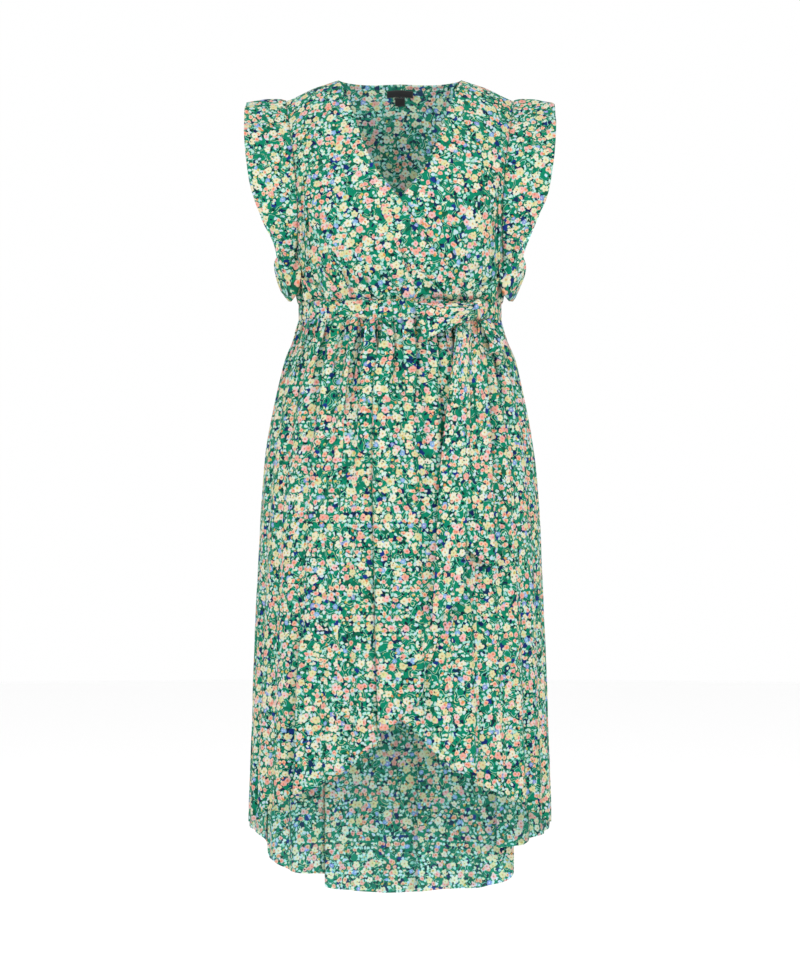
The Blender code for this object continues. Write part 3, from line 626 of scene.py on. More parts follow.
class ViscosePrint:
    """Crepe viscose with a painted ditsy floral: dense small flowers on green, matte, drawn in mm."""

    UNEVEN_SIZE = 6.0  # mm, the wander of a brushed outline
    UNEVEN_REACH = 1.3  # mm
    PETAL_ROUND = 0.6  # 1 is a plain cosine, less is rounder
    SMALLEST = 0.80  # of a motif, as a share of its size
    LARGEST = 1.10
    SOFT_OUTLINE = 0.07  # half the width of a brushed outline, as a share of the motif's reach
    SOFT_HEART = 0.08
    STEM_SIZE = 15.0  # mm, the wander of the stems
    # each stem's contour, its width and its paint
    STEMS = ((0.50, 0.015, "#12343F"), (0.43, 0.013, "#A9E2D2"), (0.58, 0.012, "#D9E6B8"))
    WASH_SIZE = 3.4  # mm, the mottling of the wet paint
    WASH_THIN = (0.80, 0.84, 0.78)
    WASH_FULL = (1.16, 1.12, 1.18)

    def motif_group(self) -> NodeTree:
        """Makes the group that scatters one motif over cells.

        Returns:
            A group from a place in mm and a motif's sizes to its mask, a pick and the share of its reach.
        """
        sizes = dict.fromkeys(("Cell", "Radius", "Half petals", "Notch", "Share"), "Float")
        tree, given = new_group(
            "scattered_motif",
            {"Place": "Vector", "Stretch": "Vector"} | sizes,
            dict.fromkeys(("Mask", "Pick", "Reach"), "Float"),
        )
        node = partial(add_node, tree)
        per_mm = node("Math", (1.0, given["Cell"]), operation="DIVIDE")[0]
        cells = node("VectorMath", {0: given["Place"], "Scale": per_mm}, operation="SCALE")[0]
        cell = node(
            "TexVoronoi", {"Vector": cells, "Scale": 1.0, "Randomness": 1.0}, voronoi_dimensions="2D"
        )
        away = node("VectorMath", (cells, cell["Position"]), operation="SUBTRACT")[0]
        local = node("VectorMath", {0: away, "Scale": given["Cell"]}, operation="SCALE")[0]
        chance = node("SeparateColor", (cell["Color"],))
        turn = node("Math", (chance["Red"], 2 * math.pi), operation="MULTIPLY")[0]
        turned = node("VectorRotate", {"Vector": local, "Angle": turn}, rotation_type="Z_AXIS")[0]
        slim = node("VectorMath", (turned, given["Stretch"]), operation="MULTIPLY")[0]
        xyz = node("SeparateXYZ", (slim,))
        bearing = node("Math", (xyz["Y"], xyz["X"]), operation="ARCTAN2")[0]
        beat = node("Math", (bearing, given["Half petals"]), operation="MULTIPLY")[0]
        wave = node("Math", (beat,), operation="COSINE")[0]
        petal = node("Math", (wave,), operation="ABSOLUTE")[0]
        rounded = node("Math", (petal, self.PETAL_ROUND), operation="POWER")[0]
        between = node("Math", (1.0, rounded), operation="SUBTRACT")[0]
        drawn_in = node("Math", (between, given["Notch"]), operation="MULTIPLY")[0]
        outline = node("Math", (1.0, drawn_in), operation="SUBTRACT")[0]
        size = node("MapRange", {"Value": chance["Blue"], "To Min": self.SMALLEST, "To Max": self.LARGEST})[0]
        sized = node("Math", (outline, size), operation="MULTIPLY")[0]
        limit = node("Math", (sized, given["Radius"]), operation="MULTIPLY")[0]
        length = node("VectorMath", (slim,), operation="LENGTH")["Value"]
        reach = node("Math", (length, limit), operation="DIVIDE")[0]
        inside = self.within(tree, reach, 1.0, self.SOFT_OUTLINE)
        present = node("Math", (chance["Green"], given["Share"]), operation="LESS_THAN")[0]
        mask = node("Math", (inside, present), operation="MULTIPLY")[0]
        pick = node("Math", (chance["Green"], given["Share"]), operation="DIVIDE")[0]
        node("NodeGroupOutput", {"Mask": mask, "Pick": pick, "Reach": reach})
        return tree

    def within(
        self, tree: NodeTree, reach: NodeSocket, limit: float, softness: float
    ) -> NodeSocket:
        """A soft mask of where a motif's reach is under a limit.

        Args:
            tree: the node tree.
            reach: the reach.
            limit: the limit.
            softness: half the width of its edge.

        Returns:
            The mask.
        """
        edge = {"From Min": limit - softness, "From Max": limit + softness, "To Min": 1.0, "To Max": 0.0}
        return add_node(tree, "MapRange", {"Value": reach} | edge)[0]

    def picked(
        self, tree: NodeTree, paints: Sequence[str], pick: NodeSocket
    ) -> NodeSocket:
        """One of some paints.

        Args:
            tree: the node tree.
            paints: their hex colours.
            pick: which one, from 0 to 1.

        Returns:
            Its colour.
        """
        colour = add_node(tree, "ValToRGB", (pick,))["Color"]
        ramp = colour.node.color_ramp
        ramp.interpolation = "CONSTANT"
        while len(ramp.elements) < len(paints):
            ramp.elements.new(0.5)
        for number, (element, code) in enumerate(zip(ramp.elements, paints)):
            element.position = number / len(paints)
            element.color = linear(code)
        return colour

    def paint_group(self) -> NodeTree:
        """Makes the group that paints the whole print.

        Returns:
            A group from a place in mm to the print's colour.
        """
        scatter = self.motif_group()
        tree, given = new_group("ditsy_floral", {"Place": "Vector"}, {"Colour": "Color"})
        node, place = partial(add_node, tree), given["Place"]
        wander = node(
            "TexNoise", {"Vector": place, "Scale": 1 / self.UNEVEN_SIZE, "Detail": 1.0}, noise_dimensions="2D"
        )["Color"]
        centred = node("VectorMath", (wander, (0.5, 0.5, 0.5)), operation="SUBTRACT")[0]
        moved = node("VectorMath", {0: centred, "Scale": 2 * self.UNEVEN_REACH}, operation="SCALE")[0]
        brushed = node("VectorMath", (place, moved), operation="ADD")[0]
        colour = self.stems(tree, brushed)
        for motif in MOTIFS:
            start = (motif.seed * 7.3, motif.seed * 3.9, 0.0)
            sizes = {
                "Place": node("VectorMath", (brushed, start), operation="ADD")[0],
                "Cell": motif.cell,
                "Radius": motif.radius,
                "Half petals": motif.petals / 2,
                "Notch": motif.notch,
                "Stretch": (1 / math.sqrt(motif.stretch), math.sqrt(motif.stretch), 0.0),
                "Share": motif.share,
            }
            found = node("Group", sizes, node_tree=scatter)
            paint = self.picked(tree, motif.colours, found["Pick"])
            if motif.heart:
                near = self.within(tree, found["Reach"], motif.heart_size, self.SOFT_HEART)
                paint = node("Mix", {0: near, 6: paint, 7: linear(motif.heart)}, data_type="RGBA")[2]
            colour = node("Mix", {0: found["Mask"], 6: colour, 7: paint}, data_type="RGBA")[2]
        wash = node(
            "TexNoise",
            {"Vector": place, "Scale": 1 / self.WASH_SIZE, "Detail": 2.0, "Roughness": 0.6},
            noise_dimensions="2D",
        )["Color"]
        spread = {7: (0.25, 0.25, 0.25), 8: (0.75, 0.75, 0.75), 9: self.WASH_THIN, 10: self.WASH_FULL}
        tint = node("MapRange", {"Vector": wash} | spread, data_type="FLOAT_VECTOR")["Vector"]
        washed = node("VectorMath", (colour, tint), operation="MULTIPLY")[0]
        node("NodeGroupOutput", {"Colour": washed})
        return tree

    def stems(self, tree: NodeTree, place: NodeSocket) -> NodeSocket:
        """Paints the ground, with thin stems wandering over it.

        Args:
            tree: the print's tree.
            place: the brushed place in mm.

        Returns:
            The colour so far.
        """
        node = partial(add_node, tree)
        field_value = node(
            "TexNoise", {"Vector": place, "Scale": 1 / self.STEM_SIZE, "Detail": 0.0}, noise_dimensions="2D"
        )["Fac"]
        colour = linear(GROUND)
        for level, width, code in self.STEMS:
            line = node("Math", (field_value, level, width), operation="COMPARE")[0]
            colour = node("Mix", {0: line, 6: colour, 7: linear(code)}, data_type="RGBA")[2]
        return colour


class Side(Enum):
    """Which side of the cloth a finish is for."""

    RIGHT = "right"
    WRONG = "wrong"


@dataclass(frozen=True)
class ClothFinish:
    """One side of the printed viscose.

    Matte woven cloth with a dry crepe hand: rough, with a faint sheen from loose fibre, thread relief,
    turned hems with a row of stitches, and a wrong side where the print shows paler and greyer, lightened
    further by painted light that makes up for the shade inside the hollow dress.
    """

    side: Side  # which side of the cloth
    thread: float = 0.9  # the spacing of its threads (mm), drawn at twice the real one so that it shows
    rumple: float = 16.0  # the size of its small rumples (mm)
    stitch: float = 3.0  # the length of one stitch and its gap (mm)
    hem: float = 7.0  # the depth of a turned hem (mm)
    # how far inside its edge the stitches lie, and half the width of their thread (mm)
    stitch_row: tuple[float, float] = (1.2, 0.45)
    depth: float = 0.64  # how much of the light on it the dyed cloth keeps, next to bare paint
    uneven: float = 0.06  # how unevenly its fibre takes the dye, as a share
    paler_and_painted_light: float = 1.55  # how much lighter the wrong side is: partly its own paler cloth, partly painted light for the shade inside the dress
    veil: tuple[str, float] = ("#B4CFCB", 0.05)  # the loose fibre's colour on the wrong side, and its share
    # what the wrong side does to each part of the light
    wrong_tint: tuple[float, float, float] = (0.85, 0.99, 1.06)
    roughness: float = 0.84  # how rough it is
    gloss: float = 0.09  # its specular level, low as it is of dry fibre
    sheen: float = 0.03  # its faint sheen

    def relief(self, tree: NodeTree, place: NodeSocket) -> NodeSocket:
        """Builds the bump: crepe threads, small rumples, and the turned hem with its stitches.

        Args:
            tree: the material's tree.
            place: the place on the cloth in mm.

        Returns:
            The bumped normal.
        """
        node = partial(add_node, tree)
        crepe = node(
            "TexNoise", {"Vector": place, "Scale": 1 / self.thread, "Detail": 1.0}, noise_dimensions="2D"
        )["Fac"]
        rumple = node(
            "TexNoise",
            {"Vector": place, "Scale": 1 / self.rumple, "Detail": 2.0, "Distortion": 0.6},
            noise_dimensions="2D",
        )["Fac"]
        hem = node("Attribute", attribute_name="hem_distance")["Fac"]
        along = node("Attribute", attribute_name="hem_along")["Fac"]
        ends = {"From Min": (self.hem - 0.6) * MM, "From Max": (self.hem + 0.6) * MM}
        turned = node("MapRange", {"Value": hem, "To Min": 1.0, "To Max": 0.0} | ends)[0]
        inset, half_thread = self.stitch_row
        row = node("Math", (hem, (self.hem - inset) * MM, half_thread * MM), operation="COMPARE")[0]
        beat = node("Math", (along, 2 * math.pi / (self.stitch * MM)), operation="MULTIPLY")[0]
        swing = node("Math", (beat,), operation="SINE")[0]
        over = node("Math", (swing, -0.4), operation="GREATER_THAN")[0]
        sunk = node("Math", (row, over), operation="MULTIPLY")[0]
        edge = node("Math", (sunk, -0.7, turned), operation="MULTIPLY_ADD")[0]
        inputs = {}
        for height, strength, distance in ((crepe, 0.30, 0.25), (rumple, 0.5, 1.4), (edge, 0.7, 0.5)):
            inputs |= {"Height": height, "Strength": strength, "Distance": distance * MM}
            inputs["Normal"] = node("Bump", inputs)[0]
        return inputs["Normal"]

    def make(self, paint: NodeTree) -> Material:
        """Makes the material.

        Args:
            paint: the group that paints the print.

        Returns:
            The material.
        """
        material, place = new_material(f"printed_viscose_{self.side.value}_side")
        tree = material.node_tree
        node = partial(add_node, tree)
        colour = node("Group", {"Place": place}, node_tree=paint)["Colour"]
        fibre = node("TexNoise", {"Vector": place, "Scale": 0.9, "Detail": 2.0}, noise_dimensions="2D")["Fac"]
        depth = self.depth
        if self.side is Side.WRONG:
            # the wrong side is lightened: partly its paler cloth, partly painted light standing in for the
            # light that the hollow inside doesn't get
            depth *= self.paler_and_painted_light
            veil, share = self.veil
            paler = node("Mix", {0: share, 6: colour, 7: linear(veil)}, data_type="RGBA")[2]
            colour = node("VectorMath", (paler, self.wrong_tint), operation="MULTIPLY")[0]
        ends = {"To Min": (1 - self.uneven) * depth, "To Max": (1 + self.uneven) * depth}
        shade = node("MapRange", {"Value": fibre} | ends)[0]
        feed(
            tree,
            tree.nodes["Principled BSDF"],
            {
                "Base Color": node("VectorMath", {0: colour, "Scale": shade}, operation="SCALE")[0],
                "Normal": self.relief(tree, place),
                "Roughness": self.roughness,
                "Specular IOR Level": self.gloss,
                "Sheen Weight": self.sheen,
                "Sheen Roughness": 0.5,
            },
        )
        return material


@dataclass(frozen=True)
class LabelFinish:
    """Black woven satin label: smooth, slightly glossy across fine ribs, with a border and no lettering."""

    rib: float = 0.55  # the spacing of its ribs (mm)
    border: tuple[float, float] = (1.1, 0.3)  # how far in its border thread lies, and half its width (mm)
    satin: str = "#151417"  # its colour
    thread: str = "#3A383C"  # its border's
    roughness: float = 0.42  # how rough it is
    sheen: float = 0.2  # its sheen

    def make(self) -> Material:
        """Makes the material.

        Returns:
            The material.
        """
        material, place = new_material("black_woven_label")
        tree = material.node_tree
        node = partial(add_node, tree)
        per_rib = math.pi / (20 * self.rib)  # a wave texture has 20 / pi bands a unit
        wave = {"Vector": place, "Scale": per_rib, "Distortion": 0.4}
        ribs = node("TexWave", wave, bands_direction="X")["Fac"]
        edge = node("Attribute", attribute_name="hem_distance")["Fac"]
        line = node("Math", (edge, self.border[0] * MM, self.border[1] * MM), operation="COMPARE")[0]
        colours = {0: line, 6: linear(self.satin), 7: linear(self.thread)}
        feed(
            tree,
            tree.nodes["Principled BSDF"],
            {
                "Base Color": node("Mix", colours, data_type="RGBA")[2],
                "Normal": node("Bump", {"Height": ribs, "Strength": 0.4, "Distance": 0.1 * MM})[0],
                "Roughness": self.roughness,
                "Sheen Weight": self.sheen,
            },
        )
        return material


@dataclass(frozen=True)
class Finishes:
    """The materials of the dress."""

    right: Material
    wrong: Material
    label: Material


# ---- Cloth ----
class Rim(Enum):
    """A side of a piece of cloth, in its shares across and down."""

    START = "across 0"
    END = "across 1"
    TOP = "down 0"
    BOTTOM = "down 1"


def arc_lengths(points: Sequence[Vector]) -> list[float]:
    """The running length along a line of points, from 0."""
    total, run = 0.0, [0.0]
    for before, after in zip(points, points[1:]):
        total += (after - before).length
        run.append(total)
    return run


@dataclass
class Cloth:
    """A thin sheet of cloth, laid over the body, with its print, its turned hems and its cut."""

    node: str  # the solid that it stands for
    lay: Callable[[float, float], Vector]  # the place of its outer face, from its shares across and down
    across: int  # how many faces it has across
    down: int  # how many it has down
    cut: tuple[float, float]  # the width and length of the cloth it was cut from, in metres
    area: float | None = None  # the area of the cut
    # the place on the printed cloth, from a column, a row and the first column of the face that it is
    # for, where plain lengths don't do
    print_at: Callable[[int, int, int], tuple[float, float]] | None = None
    grain: float = 0.0  # how far the print is turned, in degrees
    origin: tuple[float, float] = (0.0, 0.0)  # where on the printed cloth it was cut
    flattened: bool = False  # whether its place on the print comes from laying the whole sheet flat
    hems: tuple[Rim, ...] = ()  # the sides that are turned and stitched
    hem_depth: float = 0.007  # the depth of the turned hem
    wall: float = 0.0010  # its thickness
    # the direction that it faces, at a place
    outward: Callable[[Vector], Vector] = field(default=lambda place: Vector((place.x, place.y, 0)))
    held: str = "hung"  # how it is held
    rests_on: tuple[str, ...] = ()  # the names of what holds it
    slot: str = "print"  # what it is made of, print or label, which starts its name
    closing: float = 0.00002  # within what distance the ends of a tube are joined
    flat_wall: float = 0.6  # the share of its thickness where it isn't turned
    # how far past its depth a turning thickens the cloth, and over how much that fades
    turn_end: tuple[float, float] = (0.002, 0.003)

    @property
    def name(self) -> str:
        """The piece's name: what it is made of, and its solid's."""
        return ("woven_" if self.slot == "label" else "viscose_") + self.node

    def build(self, materials: Sequence[Material]) -> Object:
        """Args:
            materials: those of its outer and, if it differs, inner face.

        Returns:
            The piece.
        """
        grid = [
            [self.lay(column / self.across, row / self.down) for column in range(self.across + 1)]
            for row in range(self.down + 1)
        ]
        builder = bmesh.new()  # starts as a flat square, by which each point's column and row are told
        bmesh.ops.create_grid(builder, x_segments=self.across, y_segments=self.down, size=0.5)
        index = {
            vert: (round((vert.co.x + 0.5) * self.across), round((0.5 - vert.co.y) * self.down))
            for vert in builder.verts
        }
        self._print(builder, index, grid)
        for vert, (column, row) in index.items():
            vert.co = grid[row][column]
        if self.flattened:
            self._flatten(builder, index)
        self._mark_hems(builder, grid)
        bmesh.ops.remove_doubles(builder, verts=builder.verts, dist=self.closing)
        builder.normal_update()
        facing = sum(
            face.normal.dot(self.outward(face.calc_center_median())) * face.calc_area()
            for face in builder.faces
        )
        if facing < 0:
            bmesh.ops.reverse_faces(builder, faces=builder.faces)
        surface = sum(face.calc_area() for face in builder.faces)
        mesh = bpy.data.meshes.new(self.name)
        builder.to_mesh(mesh)
        builder.free()
        mesh.shade_smooth()
        for material in materials:
            mesh.materials.append(material)
        piece = bpy.data.objects.new(self.name, mesh)
        bpy.context.scene.collection.objects.link(piece)
        self._thicken(piece, two_sided=len(materials) > 1)
        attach(piece, "root")
        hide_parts(self.node)
        list(self.rests_on)
        LOG.info("%s: %d faces, %.4f m2 of cloth", self.name, len(mesh.polygons), surface)
        return piece

    def _print(
        self,
        builder: bmesh.types.BMesh,
        index: dict[bmesh.types.BMVert, tuple[int, int]],
        grid: Sequence[Sequence[Vector]],
    ) -> None:
        """Writes the place on the printed cloth as a UV map, while a tube is still open.

        Args:
            builder: the flat grid.
            index: each point's column and row.
            grid: the laid points, by rows.
        """
        place_of = self.print_at
        if place_of is None:
            run = arc_lengths(grid[self.down // 2])
            falls = [arc_lengths([row[column] for row in grid]) for column in range(self.across + 1)]

            def place_of(column: int, row: int, _: int) -> tuple[float, float]:
                """A place by its plain lengths."""
                return run[column], -falls[column][row]

        cosine, sine = math.cos(math.radians(self.grain)), math.sin(math.radians(self.grain))
        layer = builder.loops.layers.uv.new("cloth")
        for face in builder.faces:
            first = min(index[vert][0] for vert in face.verts)
            for loop in face.loops:
                u, v = place_of(*index[loop.vert], first)
                loop[layer].uv = (
                    self.origin[0] + u * cosine - v * sine,
                    self.origin[1] + u * sine + v * cosine,
                )

    def _flatten(self, builder: bmesh.types.BMesh, index: dict[bmesh.types.BMVert, tuple[int, int]]) -> None:
        """Lays the open sheet flat with Blender's unwrap, to size, and hangs the print by its middle.

        Args:
            builder: the laid sheet, before a tube is closed.
            index: each point's column and row.
        """
        mesh = bpy.data.meshes.new("flattened")
        builder.to_mesh(mesh)
        helper = bpy.data.objects.new("flattened", mesh)
        bpy.context.scene.collection.objects.link(helper)
        bpy.context.view_layer.objects.active = helper
        bpy.ops.object.mode_set(mode="EDIT")
        bpy.ops.mesh.select_all(action="SELECT")
        bpy.ops.uv.unwrap(method="ANGLE_BASED", margin=0.0)
        bpy.ops.object.mode_set(mode="OBJECT")
        flat = [entry.uv.copy() for entry in mesh.uv_layers["cloth"].data]
        bpy.data.objects.remove(helper)
        bpy.data.meshes.remove(mesh)
        layer = builder.loops.layers.uv["cloth"]
        places, area = {}, 0.0
        for number, face in enumerate(builder.faces):
            corners = flat[4 * number : 4 * number + 4]
            area += abs((corners[2] - corners[0]).cross(corners[3] - corners[1])) / 2
            places.update((index[loop.vert], place) for loop, place in zip(face.loops, corners))
        scale = math.sqrt(sum(face.calc_area() for face in builder.faces) / area)
        top, bottom = places[(self.across // 2, 0)], places[(self.across // 2, self.down)]
        turn = Matrix.Rotation((bottom - top).angle_signed(Vector((0, -1))) + math.radians(self.grain), 2)
        for face in builder.faces:
            for loop in face.loops:
                loop[layer].uv = Vector(self.origin) + turn @ (places[index[loop.vert]] - top) * scale

    def _mark_hems(self, builder: bmesh.types.BMesh, grid: Sequence[Sequence[Vector]]) -> None:
        """Writes each point's distance from the nearest hem and place along it, and thickens the turnings.

        Args:
            builder: the laid sheet.
            grid: its points, by rows.
        """
        distance = builder.verts.layers.float.new("hem_distance")
        along = builder.verts.layers.float.new("hem_along")
        turning = builder.verts.layers.deform.verify()
        rims = {
            Rim.START: [row[0] for row in grid],
            Rim.END: [row[-1] for row in grid],
            Rim.TOP: list(grid[0]),
            Rim.BOTTOM: list(grid[-1]),
        }
        edge = [pair for rim in self.hems for pair in zip(rims[rim], arc_lengths(rims[rim]))]
        tree = kdtree.KDTree(max(len(edge), 1))
        for number, (point, _) in enumerate(edge):
            tree.insert(point, number)
        tree.balance()
        for vert in builder.verts:
            gap, run = 1.0, 0.0
            if edge:
                _, number, gap = tree.find(vert.co)
                run = edge[number][1]
            vert[distance] = gap
            vert[along] = run
            turned = ease((self.hem_depth + self.turn_end[0] - gap) / self.turn_end[1])
            vert[turning][0] = mix(self.flat_wall, 1.0, turned)

    def _thicken(self, piece: Object, two_sided: bool) -> None:
        """Gives the sheet its wall, inwards from its outer face, a little more where it is turned."""
        piece.vertex_groups.new(name="turning")
        solid = piece.modifiers.new("wall", "SOLIDIFY")
        solid.thickness = self.wall
        solid.offset = -1.0
        solid.vertex_group = "turning"
        solid.use_quality_normals = True
        solid.material_offset = 1 if two_sided else 0
        solid.material_offset_rim = 0


# ---- Bodice ----
def behind_band(angle: float, level: float, drop: float = 0.0) -> Vector:
    """The edge of a seam, taken in behind the band, whose face lies in by the drop."""
    point = SKIRT.point(angle, WAIST_BOTTOM, SEAM_FACE + drop)
    point.z = level
    return point


@dataclass
class Bodice:
    """The wrapped fronts and the back, with gathers at the waist and soft creases."""

    gathers: int = 6  # how many soft gathers a front has at the waist
    gather_height: float = 0.0042  # how far they stand
    gather_reach: float = 0.085  # how far up they fade
    gather_hold: float = 0.010  # how far up the seam holds them down
    gather_held: float = 0.2  # the share of their height that it leaves
    small_height: float = 0.0016  # how far the small gathers between them stand
    small_wave: tuple[float, float, float] = (17.0, 0.35, 9.0)  # their number, wander and beat
    # how far up they are highest, and over how much they fade
    small_place: tuple[float, float] = (0.012, 0.022)
    edge_fade: float = 0.125  # the share of a front's width over which relief fades to its sides
    puff_height: float = 0.009  # how far over the seam the blouse hangs lowest
    puff_fall: float = 0.0060  # how far it hangs
    puff_start: float = 0.003  # how far over the seam it starts to
    # its unevenness round the body
    puff_uneven: tuple[Rumple, ...] = (Rumple(1.6, 0.16, 0.0, 12.0), Rumple(1.0, 0.5, 3.0, 12.0))
    # the unevenness of a front
    rumples: tuple[Rumple, ...] = (Rumple(0.0011, 26, 20, 4.0), Rumple(0.0006, 70, 55, 9.0))
    back_rumple: Rumple = Rumple(0.0012, 24, 15, 2.0)  # that of the back
    rumple_fade: float = 0.05  # how far down from the shoulder it grows
    lap_ends: float = 0.15  # how far a crease runs past both its ends, as a share of its length
    lap_fade: float = 0.35  # over what share it fades there
    lap_slide: float = 0.58  # how far its cloth slides over itself, as a share of its half width
    # over what shares of a front creases fade to its side and its edge
    lap_margins: tuple[float, float] = (0.04, 0.05)
    print_turn: float = 35.0  # how far the print is turned on a front
    level_power: float = 1.6  # how much closer together its rows lie near the shoulder
    across: int = 165  # faces across a front
    down: int = 150  # faces down it
    back_across: int = 140  # faces across the back

    def level(self, down: float) -> float:
        """The level at a share down, closer together at the shoulder, where the cloth turns over."""
        return WAIST_TOP * down**self.level_power

    def gather_relief(self, share: float, level: float) -> float:
        """Gathers sewn into the waist seam, which fade upwards and blouse a little over it."""
        above = level - WAIST_TOP
        held = mix(self.gather_held, 1.0, ease(above / self.gather_hold))
        large = -self.gather_height * math.cos(2 * math.pi * share * self.gathers)
        highest, reach = self.small_place
        small = self.small_height * uneven_wave(share, *self.small_wave) * bump((above - highest) / reach)
        return (large + small) * ease(1 - above / self.gather_reach) * held

    def puff(self, point: Vector, level: float, angle: float) -> Vector:
        """Lets the blouse hang a little over the band, unevenly."""
        above = level - WAIST_TOP
        uneven = 1 + sum(rumple.at(angle, 1.0) for rumple in self.puff_uneven)
        near = bump(above / self.puff_height - 1) * ease(above / self.puff_start)
        point.z -= self.puff_fall * uneven * near
        return point

    def drag_relief(self, x: float, level: float) -> float:
        """Drag folds as soft troughs along their lines, fading at both ends."""
        total = 0.0
        for crease in DRAG_FOLDS:
            run = Vector((crease.x1 - crease.x0, crease.level1 - crease.level0))
            offset = Vector((x - crease.x0, level - crease.level0))
            along = offset.dot(run) / run.length_squared
            if 0 < along < 1:
                across = (offset - along * run).length
                total -= crease.depth * math.sin(math.pi * along) * bump(across / crease.width)
        return total

    def creased(self, angle: float, level: float, strength: float) -> tuple[float, float, float]:
        """How far the small creases, which lap over themselves, carry a place.

        Args:
            angle: its angle on its own side.
            level: its level.
            strength: the share of their depth.

        Returns:
            The turn in degrees, the rise and the stand.
        """
        place = BODICE.point(angle, level)
        degree = (BODICE.point(angle + 1, level) - place).length
        turn = rise = stand = 0.0
        for crease in LAPS:
            run = Vector((crease.x1 - crease.x0, crease.level1 - crease.level0))
            offset = Vector((place.x - crease.x0, level - crease.level0))
            along = offset.dot(run) / run.length_squared
            gap = run.cross(offset) / run.length / crease.width
            if not -self.lap_ends < along < 1 + self.lap_ends or abs(gap) >= 1:
                continue
            lapped = math.sin(math.pi * gap) * strength
            for past in (along, 1 - along):
                lapped *= ease((past + self.lap_ends) / self.lap_fade)
            slide = -self.lap_slide * crease.width * lapped / run.length
            turn -= slide * run.y / degree
            rise += slide * run.x
            stand += crease.depth * lapped
        return turn, rise, stand

    def front_relief(self, share: float, angle: float, level: float, edge: float, under: bool) -> float:
        """How far a front stands out from the body.

        Args:
            share: the share across the panel, from the side to the wrap edge.
            angle: the angle on its own side.
            level: the level.
            edge: how far past the centre the outer panel's edge lies at this level.
            under: whether it is the under front.

        Returns:
            The distance outwards.
        """
        x = BODICE.point(angle, level).x
        out = self.gather_relief(share, level) * ease(share / self.edge_fade)
        out += sum(rumple.at(x, level, under) for rumple in self.rumples) * ease(-level / self.rumple_fade)
        if under:
            covered = edge + COVER_MARGIN - angle
            out = out * ease(-covered / WRAP_BLEND) + under_drop(angle, edge)
            return out - HIDDEN_DROP * ease((covered - COVER_MARGIN) / HIDDEN_BLEND)
        return (out + self.drag_relief(x, level)) * ease((1 - share) / self.edge_fade)

    def front(self, side: int, under: bool) -> Cloth:
        """A bodice front, from armhole and side seam to neck and wrap edge.

        Args:
            side: 1 on the wearer's left, -1 on the right.
            under: whether it is wrapped under.

        Returns:
            The piece.
        """
        levels = [self.level(row / self.down) for row in range(self.down + 1)]
        edges = [(level, armhole_angle(level), BODICE.angle_at(level, NECK_X(level))) for level in levels]
        seam_drop = partial(under_drop, edge=wrap_angle(WAIST_BOTTOM)) if under else lambda _: 0.0

        def lay(across: float, down: float) -> Vector:
            """A point of a front's outer face; its last row goes behind the band."""
            level, start, end = edges[round(down * self.down)]
            angle = mix(start, end, across)
            if down == 1:
                return behind_band(side * angle, WAIST_TOP - SEAM, seam_drop(angle))
            out = self.front_relief(across, angle, level, -end, under)
            inner, outer = self.lap_margins
            shown = ease((angle + end - COVER_MARGIN) / 10) if under else ease((1 - across) / outer)
            turn, rise, stand = self.creased(angle, level, shown * ease(across / inner))
            place = BODICE.point(side * (angle + turn), level + rise, out + stand + FACE)
            return self.puff(place, level, angle)

        return Cloth(
            node=f"bodice_front_{'under' if under else 'outer'}",
            lay=lay,
            grain=side * self.print_turn,
            origin=(0.31, 0.17) if under else (0.0, 0.0),
            flattened=True,
            across=self.across,
            down=self.down,
            cut=(0.30, 0.46),
            area=0.084,
            hems=(Rim.END,),
            hem_depth=0.006,
            held="stretched",
        )

    def back(self) -> Cloth:
        """The back, from armhole to armhole, with the neck cut a little below the shoulders.

        Returns:
            The piece.
        """

        def lay(across: float, down: float) -> Vector:
            """A point of the back's outer face; its last row goes behind the band."""
            level, share = self.level(down), 2 * across - 1
            angle = 180 + share * armhole_angle(level)
            if down == 1:
                return behind_band(angle, WAIST_TOP - SEAM)
            x = BODICE.point(angle, level).x
            drop = BACK_NECK_DROP * max(0.0, 1 - (x / NECK_HALF_WIDTH) ** 2)
            lowered = level - drop * max(0.0, 1 + level / BACK_NECK_BLEND)
            out = self.gather_relief(share, level) * ease((1 - abs(share)) / self.edge_fade / 2)
            out += self.back_rumple.at(x, level) * ease(-level / self.rumple_fade)
            return self.puff(BODICE.point(angle, lowered, out + FACE), level, angle)

        rows = []
        for level in (self.level(row / self.down) for row in range(self.down + 1)):
            reach = armhole_angle(level)
            turns = [180 + (2 * k / self.back_across - 1) * reach for k in range(self.back_across + 1)]
            rows.append(arc_lengths([BODICE.point(turn, level) for turn in turns]))
        fall = arc_lengths([lay(0.5, row / self.down) for row in range(self.down + 1)])

        return Cloth(
            node="bodice_back",
            lay=lay,
            print_at=lambda column, row, _: (rows[row][column] - rows[row][-1] / 2, -fall[row]),
            origin=(1.3, 0.0),
            across=self.back_across,
            down=self.down,
            cut=(0.46, 0.40),
            area=0.165,
            hems=(Rim.TOP,),
            hem_depth=0.006,
            held="stretched",
        )

    def build(self, finishes: Finishes) -> None:
        """Builds the three pieces."""
        for piece in (self.front(-1, under=False), self.front(1, under=True), self.back()):
            piece.build((finishes.right, finishes.wrong))


